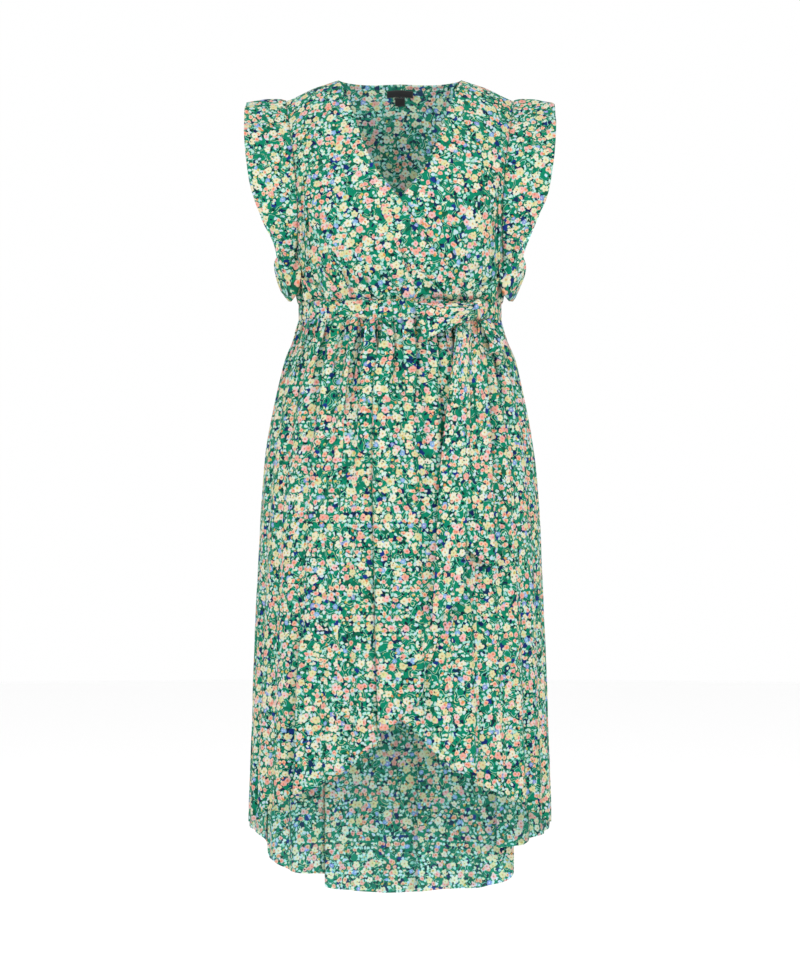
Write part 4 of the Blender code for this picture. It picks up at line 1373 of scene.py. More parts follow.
# ---- Waistband ----
@dataclass
class Waistband:
    """The set-in band: three lengths of doubled cloth, stitched along both edges."""

    wall: float = 0.0018  # its thickness
    # each one's solid, first and last angle, faces along, and whether it lies under another
    lengths: tuple[tuple[str, float, float, int, bool], ...] = (
        ("waistband_front_outer", -90, 47.0, 130, False),
        ("waistband_front_under", -42.0, 90, 124, True),
        ("waistband_back", 90, 270, 150, False),
    )
    gap: float = 0.0001  # the seam to bodice and skirt
    face: float = 0.0018  # how far out its outer face lies
    belly: float = 0.0005  # how much more its middle stands out
    # the unevenness that its stitches draw in
    puckers: tuple[Rumple, ...] = (Rumple(0.0005, 0.35, 1.5, 6.0), Rumple(0.0004, 1.1, 3, 8.0))
    down: int = 10  # faces down it

    def length(self, node: str, start: float, end: float, across: int, drops: bool) -> Cloth:
        """A length of the band.

        Args:
            node: the solid that it stands for.
            start: the angle at which it starts.
            end: the angle at which it ends.
            across: how many faces it has along.
            drops: whether it lies under another.

        Returns:
            The piece.
        """
        edge = wrap_angle(WAIST_BOTTOM)

        def lay(over: float, down: float) -> Vector:
            """A point of the length's outer face."""
            angle = mix(start, end, over)
            out = self.face + (under_drop(angle, edge) if drops else 0.0)
            out += sum(pucker.at(angle, down) for pucker in self.puckers)
            out += self.belly * math.sin(math.pi * down)
            point = SKIRT.point(angle, WAIST_BOTTOM, out)
            point.z = mix(WAIST_TOP - self.gap, WAIST_BOTTOM + self.gap, down)
            return point

        run = arc_lengths([lay(k / across, 0.5) for k in range(across + 1)])
        return Cloth(
            node=node,
            lay=lay,
            origin=(2.1 + start / 300, 0.0),
            across=across,
            down=self.down,
            cut=(run[-1], 0.030),
            hems=(Rim.TOP, Rim.BOTTOM),
            wall=self.wall,
            held="stretched",
            hem_depth=0.003,
        )

    def build(self, finishes: Finishes) -> None:
        """Builds the three lengths."""
        for row in self.lengths:
            self.length(*row).build((finishes.right, finishes.wrong))


# ---- Skirt ----
@dataclass(frozen=True)
class FoldedPanel:
    """A skirt panel's surface: creases between soft ridges, tucks that lap over, and small gathers.

    A place across is counted in folds, so 3.5 is half way between the fourth fold and the fifth.
    """

    folds: Sequence[Fold]  # its folds in order of angle
    tucks: Sequence[Tuck]  # its laps and the narrow pleats of its waist
    breaks: Sequence[float]  # the creases that take in its fullness, in folds
    edge: Callable[[float], float]  # the level of its hem at an angle
    seed: float  # for its unevenness
    gather_height: float = 0.0017  # how far its small gathers stand
    gather_wave: tuple[float, float, float] = (3.1, 0.5, 2.3)  # their number to a fold, wander and beat
    # how far below the band they are highest, and over how much they fade
    gather_place: tuple[float, float] = (0.014, 0.036)
    # how far down the seam holds them, and the start of their rise
    gather_hold: tuple[float, float] = (0.006, 0.35)
    # its unevenness
    rumples: tuple[Rumple, ...] = (Rumple(0.0018, 1.7, 5.0, 0.0), Rumple(0.0008, 4.3, 16.0, 5.0))
    rumple_fade: float = 0.05  # how far below the band it grows
    crease_power: float = 1.7  # how narrow a crease is
    tuck_fade: float = 0.07  # over how much a tuck fades below its end
    open_below: float = -1.2  # a tuck that ends lower than this runs on to the hem

    def between(self, place: float) -> tuple[Fold, Fold, float]:
        """The folds on each side of a place, and the share from one to the other."""
        k = min(int(place), len(self.folds) - 2)
        return self.folds[k], self.folds[k + 1], place - k

    def angle(self, place: float, level: float) -> float:
        """The angle of a place at a level, without its tucks."""
        first, second, share = self.between(place)
        down = min(max((WAIST_BOTTOM - level) / (WAIST_BOTTOM - FOLD_HEM), 0.0), 1.0)
        start, end = (mix(fold.top_angle, fold.hem_angle, down) for fold in (first, second))
        return mix(start, end, share)

    def depth(self, fold: Fold, level: float) -> float:
        """The depth of a fold at a level, in metres."""
        if level > FOLD_TOP:
            opened = ease((WAIST_BOTTOM - level) / (WAIST_BOTTOM - FOLD_TOP))
            return fold.top_depth * mix(SEAM_GATHER_SHARE, 1.0, opened) * MM
        if level > FOLD_MIDDLE:
            share = ease((FOLD_TOP - level) / (FOLD_TOP - FOLD_MIDDLE))
            return mix(fold.top_depth, fold.mid_depth, share) * MM
        share = ease((FOLD_MIDDLE - level) / (FOLD_MIDDLE - FOLD_HEM))
        return mix(fold.mid_depth, fold.hem_depth, share) * MM

    def relief(self, place: float, level: float, fine: bool) -> float:
        """How far a place stands out (a ridge) or in (a crease).

        Args:
            place: across, in folds.
            level: the level.
            fine: whether it has its small gathers and unevenness.

        Returns:
            The distance outwards.
        """
        first, second, share = self.between(place)
        depth = self.depth(first, level) * (1 - share) + self.depth(second, level) * share
        crease = ((1 + math.cos(2 * math.pi * share)) / 2) ** self.crease_power
        out = RIDGE_SHARE * depth * (1 - crease) - depth * crease
        if fine:
            below = WAIST_BOTTOM - level
            (highest, reach), (hold, rise) = self.gather_place, self.gather_hold
            near = bump((below - highest) / reach) * ease(below / hold + rise)
            out += self.gather_height * uneven_wave(place, *self.gather_wave) * near
            uneven = sum(rumple.at(place, level, self.seed) for rumple in self.rumples)
            out += uneven * ease(below / self.rumple_fade)
        return out

    def point(self, place: float, level: float, drop: float = 0.0, fine: bool = True) -> Vector:
        """A point of the panel's outer face.

        Args:
            place: across, in folds.
            level: the level.
            drop: how far it lies out, or in.
            fine: whether it has its small gathers and unevenness.

        Returns:
            The point.
        """
        angle = self.angle(place, level)
        out = self.relief(place, level, fine) + drop + FACE
        beside = self.angle(min(place + 0.5, len(self.folds) - 1.0), level)
        radius = SKIRT.half_width(level)
        per_fold = math.radians(abs(beside - self.angle(place - 0.5, level))) * radius
        for tuck in self.tucks:
            half_width = tuck.half_width * MM
            local = (place - tuck.place) * per_fold / half_width
            if abs(local) < 1:
                lapped = math.sin(math.pi * local) * ease((tuck.top - level) / tuck.fade)
                if tuck.bottom > self.open_below:
                    lapped *= ease((level - tuck.bottom) / self.tuck_fade + 1)
                angle -= math.degrees(tuck.lap * half_width * lapped / radius)
                out += tuck.stand * lapped
        return SKIRT.point(angle, level, out)

    def hem_level(self, place: float) -> float:
        """The level at which a place meets the panel's edge."""

        def past(fall: float) -> float:
            """How far past the hem the place is at a fall."""
            return fall + self.edge(self.angle(place, -fall))

        return WAIST_BOTTOM if past(-WAIST_BOTTOM) >= 0 else -find(past, 0.0, -WAIST_BOTTOM, LOWEST)


@dataclass
class Skirt:
    """The tulip-wrapped fronts and the longer back of the skirt."""

    front_across: int = 210  # faces across a front
    front_down: int = 110  # faces down it
    back_across: int = 236  # faces across the back
    back_down: int = 124  # faces down it
    print_lines: int = 34  # how many level lines the print's widths are measured along
    print_fall: float = 1.03  # how far down the lowest of them lies
    level_power: float = 1.6  # how much closer together they lie near the waist
    slant: float = 1.012  # how much longer the cloth is than its fall
    fineness: int = 8  # how many places a column is chosen from
    row_power: float = 0.92  # how much closer together its rows lie near the waist

    def spread(self, panel: FoldedPanel, start: float, end: float, count: int) -> list[tuple[float, float]]:
        """Spreads columns over a panel, closer together where its edge runs steeply.

        Args:
            panel: the panel.
            start: the first place, in folds.
            end: the last one.
            count: how many faces across.

        Returns:
            Each column's place and the level of its hem.
        """
        fine = self.fineness * count
        places = [start + (end - start) * k / fine for k in range(fine + 1)]
        hems = [panel.hem_level(place) for place in places]
        hem_line = arc_lengths([SKIRT.point(panel.angle(p, h), h) for p, h in zip(places, hems)])
        top_line = arc_lengths([SKIRT.point(panel.angle(p, WAIST_BOTTOM), WAIST_BOTTOM) for p in places])
        both = [a + b for a, b in zip(hem_line, top_line)]
        stops = [bisect.bisect_left(both, both[-1] * k / count - 1e-9) for k in range(count + 1)]
        return [(places[min(stop, fine)], hems[min(stop, fine)]) for stop in stops]

    def panel(
        self,
        node: str,
        panel: FoldedPanel,
        ends: tuple[float, float],
        size: tuple[int, int],
        cut: tuple[float, float, float],
        drops: bool = False,
    ) -> Cloth:
        """A skirt panel as a piece of cloth.

        Args:
            node: the solid that it stands for.
            panel: its surface.
            ends: its first place and its last, in folds.
            size: faces across and down.
            cut: the width, length and area of its cut.
            drops: whether it lies under the other front.

        Returns:
            The piece.
        """
        columns = self.spread(panel, *ends, size[0])
        edge_at = cache(wrap_angle)

        def fallen(row: int) -> float:
            """The share of the way down to the hem at a row."""
            return (max(row - 1, 0) / (size[1] - 1)) ** self.row_power

        def lay(across: float, down: float) -> Vector:
            """A point of the panel's outer face; its first row goes behind the band."""
            place, hem = columns[round(across * size[0])]
            level = mix(WAIST_BOTTOM, hem, fallen(round(down * size[1])))
            angle = panel.angle(place, level)
            drop = under_drop(angle, edge_at(round(level, 4))) if drops else 0.0
            return panel.point(place, level, drop) if down else behind_band(angle, level + SEAM, drop)

        shares = [(k / self.print_lines) ** self.level_power for k in range(self.print_lines + 1)]
        lines = [WAIST_BOTTOM - self.print_fall * share for share in shares]
        sectors = [bisect.bisect(panel.breaks, place) for place, _ in columns]
        anchors = [(sectors.index(k) + len(sectors) - 1 - sectors[::-1].index(k)) // 2 for k in sectors]
        measured = [
            arc_lengths([panel.point(place, level, fine=False) for place, _ in columns]) for level in lines
        ]
        stops, hem_run = sorted(set(anchors)), measured[-1]

        def printed(run: Sequence[float], column: int, first: int) -> float:
            """A column's place across the print on a line; the breaks take in its fullness."""
            anchor = anchors[first]
            beside = stops[min(max(stops.index(anchor) + (1 if column > anchor else -1), 0), len(stops) - 1)]
            share = 1.0
            if beside != anchor:
                share = min(1.0, (hem_run[beside] - hem_run[anchor]) / (run[beside] - run[anchor]))
            return hem_run[anchor] + (run[column] - run[anchor]) * share

        def print_at(column: int, row: int, first: int) -> tuple[float, float]:
            """The place on the print of a column and row, between the two measured lines beside it."""
            fall = (columns[column][1] - WAIST_BOTTOM) * fallen(row) + (0 if row else SEAM)
            share = max(-fall / self.print_fall, 0.0) ** (1 / self.level_power)
            place = min(share * self.print_lines, self.print_lines - 1e-6)
            above, below = (printed(measured[int(place) + step], column, first) for step in (0, 1))
            return mix(above, below, place % 1), fall * self.slant

        return Cloth(
            node=node,
            lay=lay,
            print_at=print_at,
            origin=(0.37 * panel.seed, 0.0),
            across=size[0],
            down=size[1],
            cut=cut[:2],
            area=cut[2],
            hems=(Rim.BOTTOM,),
            held="gathered",
        )

    def build(self, finishes: Finishes) -> None:
        """Builds the two fronts and the back."""
        reach = wrap_angle(WAIST_BOTTOM)
        tucks = (*FRONT_TUCKS, *waist_pleats([0.6 + 0.52 * k for k in range(30)], seed=2.0))
        back_tucks = (*BACK_TUCKS, *waist_pleats([0.6 + 0.55 * k for k in range(22)], seed=6.0))
        shown = [tuck for tuck in tucks if tuck.place > COVERED]
        outer = FoldedPanel(FRONT_FOLDS, tucks, FRONT_BREAKS, lambda angle: FRONT_HEM(-angle), 1.0)
        under = FoldedPanel(FRONT_FOLDS, shown, FRONT_BREAKS, FRONT_HEM, 3.0)
        back = FoldedPanel(
            BACK_FOLDS,
            back_tucks,
            range(1, 13),
            lambda angle: BACK_HEM(180 - abs(180 - angle)) + BACK_LIFT(angle),
            7.0,
        )
        last = len(FRONT_FOLDS) - 1.0
        outer_end, under_start = (
            find(lambda place: outer.angle(place, WAIST_BOTTOM), edge, 0.0, last) for edge in (reach, -reach)
        )
        front, whole = (self.front_across, self.front_down), (self.back_across, self.back_down)
        under_ends = (under_start, last)
        pieces = (
            self.panel("skirt_front_outer", outer, (0.0, outer_end), front, (0.60, 0.86, 0.35)),
            self.panel("skirt_front_under", under, under_ends, front, (0.60, 0.86, 0.34), drops=True),
            self.panel("skirt_back", back, (0.0, len(BACK_FOLDS) - 1.0), whole, (0.86, 1.00, 0.69)),
        )
        for piece in pieces:
            piece.build((finishes.right, finishes.wrong))


# ---- Sleeves ----
class SleevePoint(NamedTuple):
    """A point of a sleeve's free edge, from the top of the shoulder round the front."""

    turn: float
    x: float
    y: float
    z: float


SLEEVE_EDGE = (
    SleevePoint(0.00, 0.2530, 0.004, -0.0130),
    SleevePoint(0.07, 0.2545, -0.034, -0.0300),
    SleevePoint(0.15, 0.2540, -0.064, -0.0700),
    SleevePoint(0.23, 0.2490, -0.083, -0.1200),
    SleevePoint(0.31, 0.2390, -0.090, -0.1720),
    SleevePoint(0.38, 0.2180, -0.086, -0.2190),
    SleevePoint(0.43, 0.1960, -0.074, -0.2560),
    SleevePoint(0.47, 0.2060, -0.050, -0.2850),
    SleevePoint(0.51, 0.1960, -0.022, -0.3230),
    SleevePoint(0.55, 0.1855, 0.010, -0.3375),
    SleevePoint(0.59, 0.1870, 0.042, -0.3260),
    SleevePoint(0.64, 0.1990, 0.066, -0.2900),
    SleevePoint(0.70, 0.2120, 0.084, -0.2390),
    SleevePoint(0.77, 0.2370, 0.092, -0.1820),
    SleevePoint(0.84, 0.2480, 0.088, -0.1220),
    SleevePoint(0.91, 0.2540, 0.068, -0.0640),
    SleevePoint(0.97, 0.2545, 0.034, -0.0240),
)


@dataclass
class Sleeves:
    """The two flutter sleeves, gathered into deep armholes and flared to a free edge with soft waves."""

    waves: int = 12  # how many waves the free edge has
    wave_height: float = 0.0045  # how far they stand
    wander: float = 0.22  # how unevenly they lie
    gather_height: float = 0.0011  # how far the gathers at the armhole stand
    gather_wave: tuple[float, float, float] = (41, 0.8, 6 * math.pi)  # their number, wander and beat
    # how far down a sleeve they are highest, and over how much they fade, as shares
    gather_place: tuple[float, float] = (0.10, 0.16)
    low_calm: float = 0.55  # how much less it waves under the arm
    # how much less over the shoulder, and over how much of the way round that fades
    crown_calm: tuple[float, float] = (0.85, 0.07)
    rumple: Rumple = Rumple(0.0014, 22, 2.4, 0.0)  # its unevenness
    start: float = 0.0008  # how far the cloth starts from the armhole's edge
    face: float = 0.0012  # how far out its outer face lies
    centre: float = -0.15  # the height of the arm's centre line
    swell: tuple[float, float, float] = (0.006, 0.0, 0.003)  # how its middle bellies out from the straight
    low_swell: tuple[float, float, float] = (0.006, 0.0, 0.006)  # how much more under the arm
    low_rise: float = 0.0012  # how far it starts higher there
    # how its lowest part falls from the straight
    sag: tuple[float, float, float] = (-0.003, -0.004, -0.041)
    front_lap: float = 8.0  # by how much it laps over the front's armhole edge, in degrees
    low_lap: float = 20.0  # how much more under the arm
    # where round the armhole that is, and over how much it fades
    low_place: tuple[float, float] = (0.485, 0.05)
    lap_out: float = 0.0022  # how far out it lies there
    print_turn: float = 12.0  # how far its print is turned
    across: int = 200  # faces round the armhole
    down: int = 34  # faces down it

    def __post_init__(self) -> None:
        """Closes the free edge's curve."""
        rows = [point._replace(turn=point.turn + lap) for lap in (-1, 0, 1) for point in SLEEVE_EDGE]
        self.free_edge = [Curve([(row.turn, row[axis]) for row in rows]) for axis in (1, 2, 3)]

    def armhole(self, turn: float) -> Vector:
        """The armhole's edge on the wearer's left: front from 0 to 0.5, back from 0.5 to 1."""
        level = -ARMHOLE_DEPTH * (1 - math.cos(2 * math.pi * turn)) / 2
        angle = armhole_angle(level)
        angle = angle if turn <= 0.5 else 180 - angle
        lap = self.front_lap * math.sqrt(max(0.0, math.sin(2 * math.pi * turn)))
        lap += self.low_lap * bump((turn - self.low_place[0]) / self.low_place[1])
        return BODICE.point(angle - lap, level, self.lap_out * ease(lap / 4))

    def sleeve(self, node: str, side: int, phase: float) -> Cloth:
        """One sleeve.

        Args:
            node: the solid that it stands for.
            side: 1 on the wearer's left.
            phase: where its waves start.

        Returns:
            The piece.
        """
        swell, low_swell, sag = Vector(self.swell), Vector(self.low_swell), Vector(self.sag)

        def lay(across: float, down: float) -> Vector:
            """A point of the sleeve's outer face, from the armhole to the free edge."""
            turn = across % 1.0
            seam = self.armhole(turn)
            free = Vector([curve(turn) for curve in self.free_edge])
            low = ((1 - math.cos(2 * math.pi * turn)) / 2) ** 3
            lift = swell + low * low_swell
            start = seam + (free - seam + 8 * lift).normalized() * self.start
            start.z += self.low_rise * low
            under = low**3
            point = start.lerp(free, down) + lift * (1 - under) * math.sin(math.pi * down**0.7)
            point += sag * under * math.sin(math.pi * down**0.52)
            outward = (point - Vector((point.x, 0.0, self.centre))).normalized()
            calm, reach = self.crown_calm
            crown = bump(min(turn, 1 - turn) / reach)
            strength = down**1.3 * (1 - self.low_calm * low) * (1 - calm * crown)
            wander = phase + self.wander * math.sin(4 * math.pi * turn)
            highest, reach = self.gather_place
            near = bump((down - highest) / reach) * ease(down / 0.05 + 0.2)
            out = self.wave_height * strength * math.cos(2 * math.pi * (self.waves * turn + wander))
            out += self.gather_height * uneven_wave(turn, *self.gather_wave) * near
            out += self.rumple.at(turn, down, phase * 9 + side) * ease(down * 3)
            point += outward * (out + self.face)
            return Vector((side * point.x, point.y, point.z))

        def outward(place: Vector) -> Vector:
            """Away from the arm's centre line."""
            return Vector((0.35 * (place.x - side * 0.16), place.y, place.z - self.centre))

        return Cloth(
            node=node,
            lay=lay,
            grain=-side * self.print_turn,
            origin=(3.1 + phase, 0.0),
            flattened=True,
            across=self.across,
            down=self.down,
            cut=(0.80, 0.085),
            area=0.046,
            hems=(Rim.BOTTOM,),
            outward=outward,
            held="gathered",
        )

    def build(self, finishes: Finishes) -> None:
        """Builds both sleeves."""
        for piece in (self.sleeve("sleeve_right", -1, 0.0), self.sleeve("sleeve_left", 1, 0.35)):
            piece.build((finishes.right, finishes.wrong))


# ---- Tie ----
@dataclass(frozen=True)
class Loop:
    """A loop of the bow: which way it leaves the knot, how far, its widths, and how its layers part."""

    name: str
    side: int
    fall: float
    reach: float
    width_at_knot: float
    width_at_end: float
    stand_off: float
    cut_width: float
    print_start: float
    swell: float
    part: float
    dip: float


@dataclass(frozen=True)
class Tail:
    """A tail of the bow: where it starts and ends, its widths, and its slanting end."""

    name: str
    x_top: float
    x_end: float
    level_end: float
    width_top: float
    width_end: float
    stand_off: float
    slant: float
    below: float
    print_start: float


@dataclass
class Bow:
    """The self-fabric tie in a bow: a knot, two loops and two tails, of doubled cloth."""

    knot_angle: float = 44.0  # where the knot lies round the waist
    knot_level: float = -0.3585  # its level
    knot_size: tuple[float, float, float] = (0.0290, 0.0200, 0.0350)  # its width, depth and height
    knot_base: float = 0.0023  # how far out it starts
    squareness: float = 0.75  # of the knot, where 1 is an ellipsoid and less is squarer
    tie_gap: float = 0.0006  # from the knot to a loop
    tuck_in: float = 0.0015  # how far a loop starts inside its reach
    wall: float = 0.0010  # the tie's thickness
    face: float = 0.0012  # how far out its outer face lies
    gathered: float = 0.0040  # how far a loop's second layer lies over its first
    curl: float = 0.001  # how far a loop curls across
    sway: float = 0.0012  # how far a tail does
    loop_pleat: float = 0.0016  # how far the pleats at a loop's knot end stand
    tail_pleat: float = 0.0015  # the same of a tail's
    loop_rumple: Rumple = Rumple(0.0010, 1.8, 5, 0.0)  # a loop's unevenness
    tail_rumple: Rumple = Rumple(0.0013, 1.2, 7, 0.0)  # a tail's
    loop_down: int = 60  # faces along a loop
    tail_down: int = 100  # faces along a tail
    # both loops
    loops: tuple[Loop, ...] = (
        Loop("tie_loop_inner", -1, 13.0, 0.083, 0.026, 0.062, 0.0130, 0.062, 4.0, 0.0040, 0.0, 0.0070),
        Loop("tie_loop_outer", 1, 75.0, 0.056, 0.018, 0.023, 0.0135, 0.046, 4.3, 0.0065, 0.0062, 0.0),
    )
    # both tails
    tails: tuple[Tail, ...] = (
        Tail("tie_tail_long", 0.0970, 0.0720, -0.842, 0.022, 0.047, 0.0108, 0.020, -0.0017, 4.6),
        Tail("tie_tail_short", 0.1160, 0.1250, -0.760, 0.029, 0.045, 0.0060, -0.016, -0.0022, 4.8),
    )

    def loop(self, row: Loop) -> Cloth:
        """A loop: its strip leaves the knot, turns round and comes back in front of itself.

        Args:
            row: its sizes.

        Returns:
            The piece.
        """
        fall = math.radians(row.fall)
        along = Vector((row.side * math.cos(fall), -math.sin(fall)))
        across = Vector((row.side * math.sin(fall), math.cos(fall)))
        knot_x = SKIRT.point(self.knot_angle, WAIST_BOTTOM).x
        half_width = self.knot_size[0] / 2 * math.cos(math.radians(self.knot_angle))
        knot_reach = 1.1 / math.hypot(along.x / half_width, 2 * along.y / self.knot_size[2])
        start = Vector((knot_x, self.knot_level)) + along * (knot_reach + self.tie_gap - self.tuck_in)

        def lay(over: float, turn: float) -> Vector:
            """A point of the loop's outer face, once round."""
            step = 2 * over - 1
            reach = math.sin(math.pi * turn) ** 0.85
            width = mix(row.width_at_knot, row.width_at_end, reach**1.3)
            out = row.stand_off + self.gathered * turn - row.swell * math.sin(2 * math.pi * turn)
            out += self.loop_pleat * math.cos(2.6 * math.pi * step + row.side) * math.exp(-reach * 3.2)
            out += self.loop_rumple.at(step, turn, row.print_start) - row.dip * reach**3
            parted = -row.part * math.cos(math.pi * turn) * reach
            place = start + along * row.reach * reach + across * (step * width / 2 + parted)
            return on_front(place.x, place.y, out + self.curl * math.cos(2.5 * step + turn) + self.face)

        run = arc_lengths([lay(0.5, k / self.loop_down) for k in range(self.loop_down + 1)])
        middle = sum((lay(0.5, k / 20) for k in range(21)), Vector()) / 21

        return Cloth(
            node=row.name,
            lay=lay,
            grain=90.0,
            origin=(row.print_start, 0.0),
            across=18,
            down=self.loop_down,
            cut=(row.cut_width, run[-1]),
            area=row.cut_width * run[-1] * 0.85,
            hems=(Rim.START, Rim.END),
            wall=self.wall,
            outward=lambda place: place - middle,
            held="folded",
            hem_depth=0.002,
        )

    def tail(self, row: Tail) -> Cloth:
        """A tail, which hangs over the skirt from below the knot, widening, to a slanting end.

        Args:
            row: its sizes.

        Returns:
            The piece.
        """
        top = self.knot_level - self.knot_size[2] / 2 - row.below

        def lay(over: float, down: float) -> Vector:
            """A point of the tail's outer face."""
            step = 2 * over - 1
            width = mix(row.width_top, row.width_end, ease(down * 1.8))
            x = mix(row.x_top, row.x_end, down**0.9)
            level = mix(top, row.level_end, down) + row.slant * step * down
            out = row.stand_off + self.sway * math.sin(2.2 * step + 5 * down) * ease(1.5 * down + 0.3)
            out += self.tail_pleat * math.cos(2.4 * math.pi * step + row.slant * 90) * math.exp(-down * 3.0)
            out += self.tail_rumple.at(step, down, row.print_start) + self.face
            return on_front(x + step * width / 2, level, out)

        run = arc_lengths([lay(0.5, k / self.tail_down) for k in range(self.tail_down + 1)])

        return Cloth(
            node=row.name,
            lay=lay,
            origin=(row.print_start, 0.0),
            across=16,
            down=self.tail_down,
            cut=(row.width_end, run[-1]),
            area=row.width_end * run[-1] * 0.88,
            hems=(Rim.START, Rim.END, Rim.BOTTOM),
            wall=self.wall,
            held="hung",
            rests_on=("tie_knot",),
            hem_depth=0.002,
        )

    def knot(self) -> Cloth:
        """The knot: a short length of tie wrapped right round, with its folds running over it.

        Returns:
            The piece.
        """
        centre = SKIRT.point(self.knot_angle, WAIST_BOTTOM, self.knot_base + self.knot_size[1] / 2)
        centre.z = self.knot_level
        tilt = math.radians(self.knot_angle)
        along = Vector((math.cos(tilt), math.sin(tilt), 0))
        outward = Vector((math.sin(tilt), -math.cos(tilt), 0))

        def lay(over: float, around: float) -> Vector:
            """A point of the knot's outer face, once round."""
            pole = math.pi * (0.03 + 0.94 * over)
            turn = 2 * math.pi * around
            ball = (-math.cos(pole), math.sin(pole) * math.cos(turn), math.sin(pole) * math.sin(turn))
            squared = [math.copysign(abs(value) ** self.squareness / 2, value) for value in ball]
            fold = math.sin(4.2 * math.pi * over + 0.8 * math.sin(turn) + 0.5)
            crease = 1 - 0.05 * ease(abs(fold) ** 3) - 0.03 * abs(math.sin(3 * turn / 2))
            across, deep, high = (share * extent for share, extent in zip(squared, self.knot_size))
            return centre + along * across + (outward * deep + Vector((0, 0, high))) * crease

        return Cloth(
            node="tie_knot",
            lay=lay,
            origin=(5.2, 0.0),
            across=34,
            down=56,
            cut=(0.034, 0.088),
            area=0.0028,
            wall=self.wall,
            outward=lambda place: place - centre,
            held="folded",
        )

    def build(self, finishes: Finishes) -> None:
        """Builds the knot, loops and tails."""
        for piece in (self.knot(), *map(self.loop, self.loops), *map(self.tail, self.tails)):
            piece.build((finishes.right,))


# ---- Labels ----
@dataclass
class Labels:
    """The two woven labels sewn inside the back neck, left plain."""

    wall: float = 0.0005  # their thickness
    gap: float = 0.0018  # how far inside the back's outer face they start
    bow: float = 0.0004  # how much more their middle does
    level: float = -0.0240  # the upper edge of the neck label
    steepness: float = 0.75  # how steeply the back falls there, level against length
    neck_size: tuple[float, float] = (0.044, 0.0105)  # the neck label's width and height
    care_size: tuple[float, float] = (0.0165, 0.0130)  # the size label's
    spacing: float = 0.0008  # the gap between them

    def label(self, node: str, size: tuple[float, float], drop: float) -> Cloth:
        """One label.

        Args:
            node: the solid that it stands for.
            size: its width and height.
            drop: how far below the first label's upper edge it starts.

        Returns:
            The piece.
        """
        width, height = size

        def lay(across: float, down: float) -> Vector:
            """A point of the label's inner face."""
            level = self.level - (drop + height * down) * self.steepness
            angle = 180 - BODICE.angle_at(level, (across - 0.5) * width)
            inward = -BODICE.normal(angle, level)
            lift = self.gap + self.bow * math.sin(math.pi * across) * down
            return BODICE.point(angle, level) + inward * lift

        return Cloth(
            node=node,
            lay=lay,
            across=24,
            down=10,
            cut=size,
            hems=(Rim.START, Rim.END, Rim.TOP, Rim.BOTTOM),
            wall=self.wall,
            held="hung",
            slot="label",
            hem_depth=0.0005,
        )

    def build(self, finishes: Finishes) -> None:
        """Builds both labels."""
        self.label("neck_label", self.neck_size, 0.0).build((finishes.label,))
        self.label("size_label", self.care_size, self.neck_size[1] + self.spacing).build((finishes.label,))


# ---- Studio ----
@dataclass(frozen=True)
class Softbox:
    """A square studio light: its place, what it points at, its side and its power."""

    name: str
    place: tuple[float, float, float]
    target: tuple[float, float, float]
    side: float
    power: float


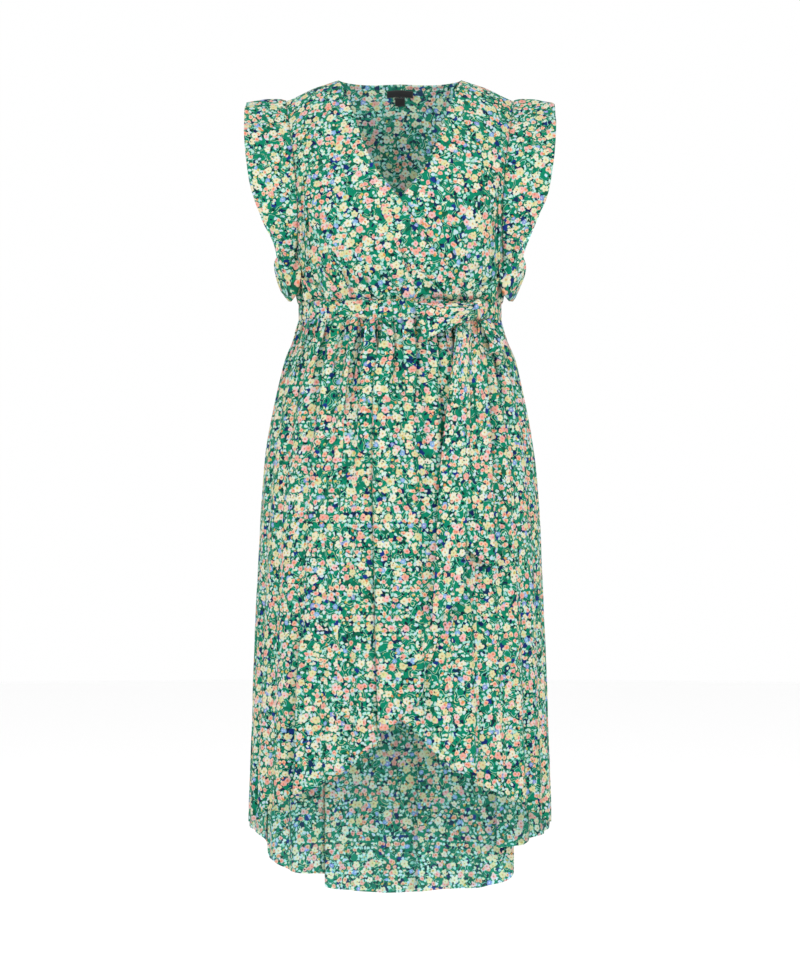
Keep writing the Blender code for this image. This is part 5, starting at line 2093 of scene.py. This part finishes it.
@dataclass
class Studio:
    """A white studio: a pale floor, an even white surround, soft lights, and the camera."""

    height: float = -0.60  # the camera's height
    distance: float = 5.0  # how far it stands in front
    seen: float = 1.612  # the height of what it sees at the dress
    centre: float = -0.649  # the level at the picture's middle
    surround: float = 0.80  # the strength of the white all round
    exposure: float = 0.32  # the picture's, in stops
    floor_level: float = -1.62  # the floor's
    floor_radius: float = 9.0  # how far it reaches
    # the soft lights
    lights: tuple[Softbox, ...] = (
        Softbox("softbox_left", (-3.0, -3.2, 1.7), (0.0, 0.0, -0.6), 1.9, 72.0),
        Softbox("softbox_right", (3.0, -3.2, 0.4), (0.0, 0.0, -0.7), 2.4, 64.0),
    )

    def camera(self) -> None:
        """Makes the camera, level, with the picture's middle a little below it."""
        data = bpy.data.cameras.new("camera")
        data.lens = data.sensor_width * self.distance / self.seen
        data.shift_y = (self.centre - self.height) / self.seen
        camera = bpy.data.objects.new("camera", data)
        camera.location = (0.0, -self.distance, self.height)
        camera.rotation_euler = (math.radians(90), 0.0, 0.0)
        bpy.context.scene.collection.objects.link(camera)
        bpy.context.scene.camera = camera

    def build(self) -> None:
        """Makes the floor, the surround, the lights and the camera."""
        self.camera()
        scene = bpy.context.scene
        scene.view_settings.view_transform = "Standard"
        scene.view_settings.exposure = self.exposure
        world = bpy.data.worlds.new("white_surround")
        world.use_nodes = True
        feed(world.node_tree, world.node_tree.nodes["Background"], (linear("#FFFFFF"), self.surround))
        scene.world = world
        for row in self.lights:
            data = bpy.data.lights.new(row.name, "AREA")
            data.size = row.side
            data.energy = row.power
            light = bpy.data.objects.new(row.name, data)
            light.location = row.place
            aim = Vector(row.target) - Vector(row.place)
            light.rotation_euler = aim.to_track_quat("-Z", "Y").to_euler()
            scene.collection.objects.link(light)
        builder = bmesh.new()
        bmesh.ops.create_circle(builder, cap_ends=True, segments=96, radius=self.floor_radius)
        bmesh.ops.translate(builder, verts=builder.verts, vec=(0.0, 0.0, self.floor_level))
        mesh = bpy.data.meshes.new("studio_floor")
        builder.to_mesh(mesh)
        builder.free()
        material = bpy.data.materials.new("pale_floor")
        material.use_nodes = True
        shader = material.node_tree.nodes["Principled BSDF"]
        feed(material.node_tree, shader, {"Base Color": linear("#FAFAFA"), "Roughness": 0.9})
        mesh.materials.append(material)
        floor = bpy.data.objects.new("studio_floor", mesh)
        scene.collection.objects.link(floor)
        floor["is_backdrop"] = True


def corners() -> list[list[float]]:
    """The lowest and highest corner of all that shows, as plain numbers."""
    return [list(corner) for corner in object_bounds()]


def main() -> None:
    """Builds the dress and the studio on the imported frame."""
    logging.basicConfig(level=logging.INFO, format="%(name)s: %(message)s")
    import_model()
    Studio().build()
    paint = ViscosePrint().paint_group()
    finishes = Finishes(
        right=ClothFinish(Side.RIGHT).make(paint),
        wrong=ClothFinish(Side.WRONG).make(paint),
        label=LabelFinish().make(),
    )
    for part in (Bodice(), Waistband(), Skirt(), Sleeves(), Bow(), Labels()):
        part.build(finishes)
        LOG.info("%s is built", type(part).__name__)


if __name__ == "__main__":
    main()
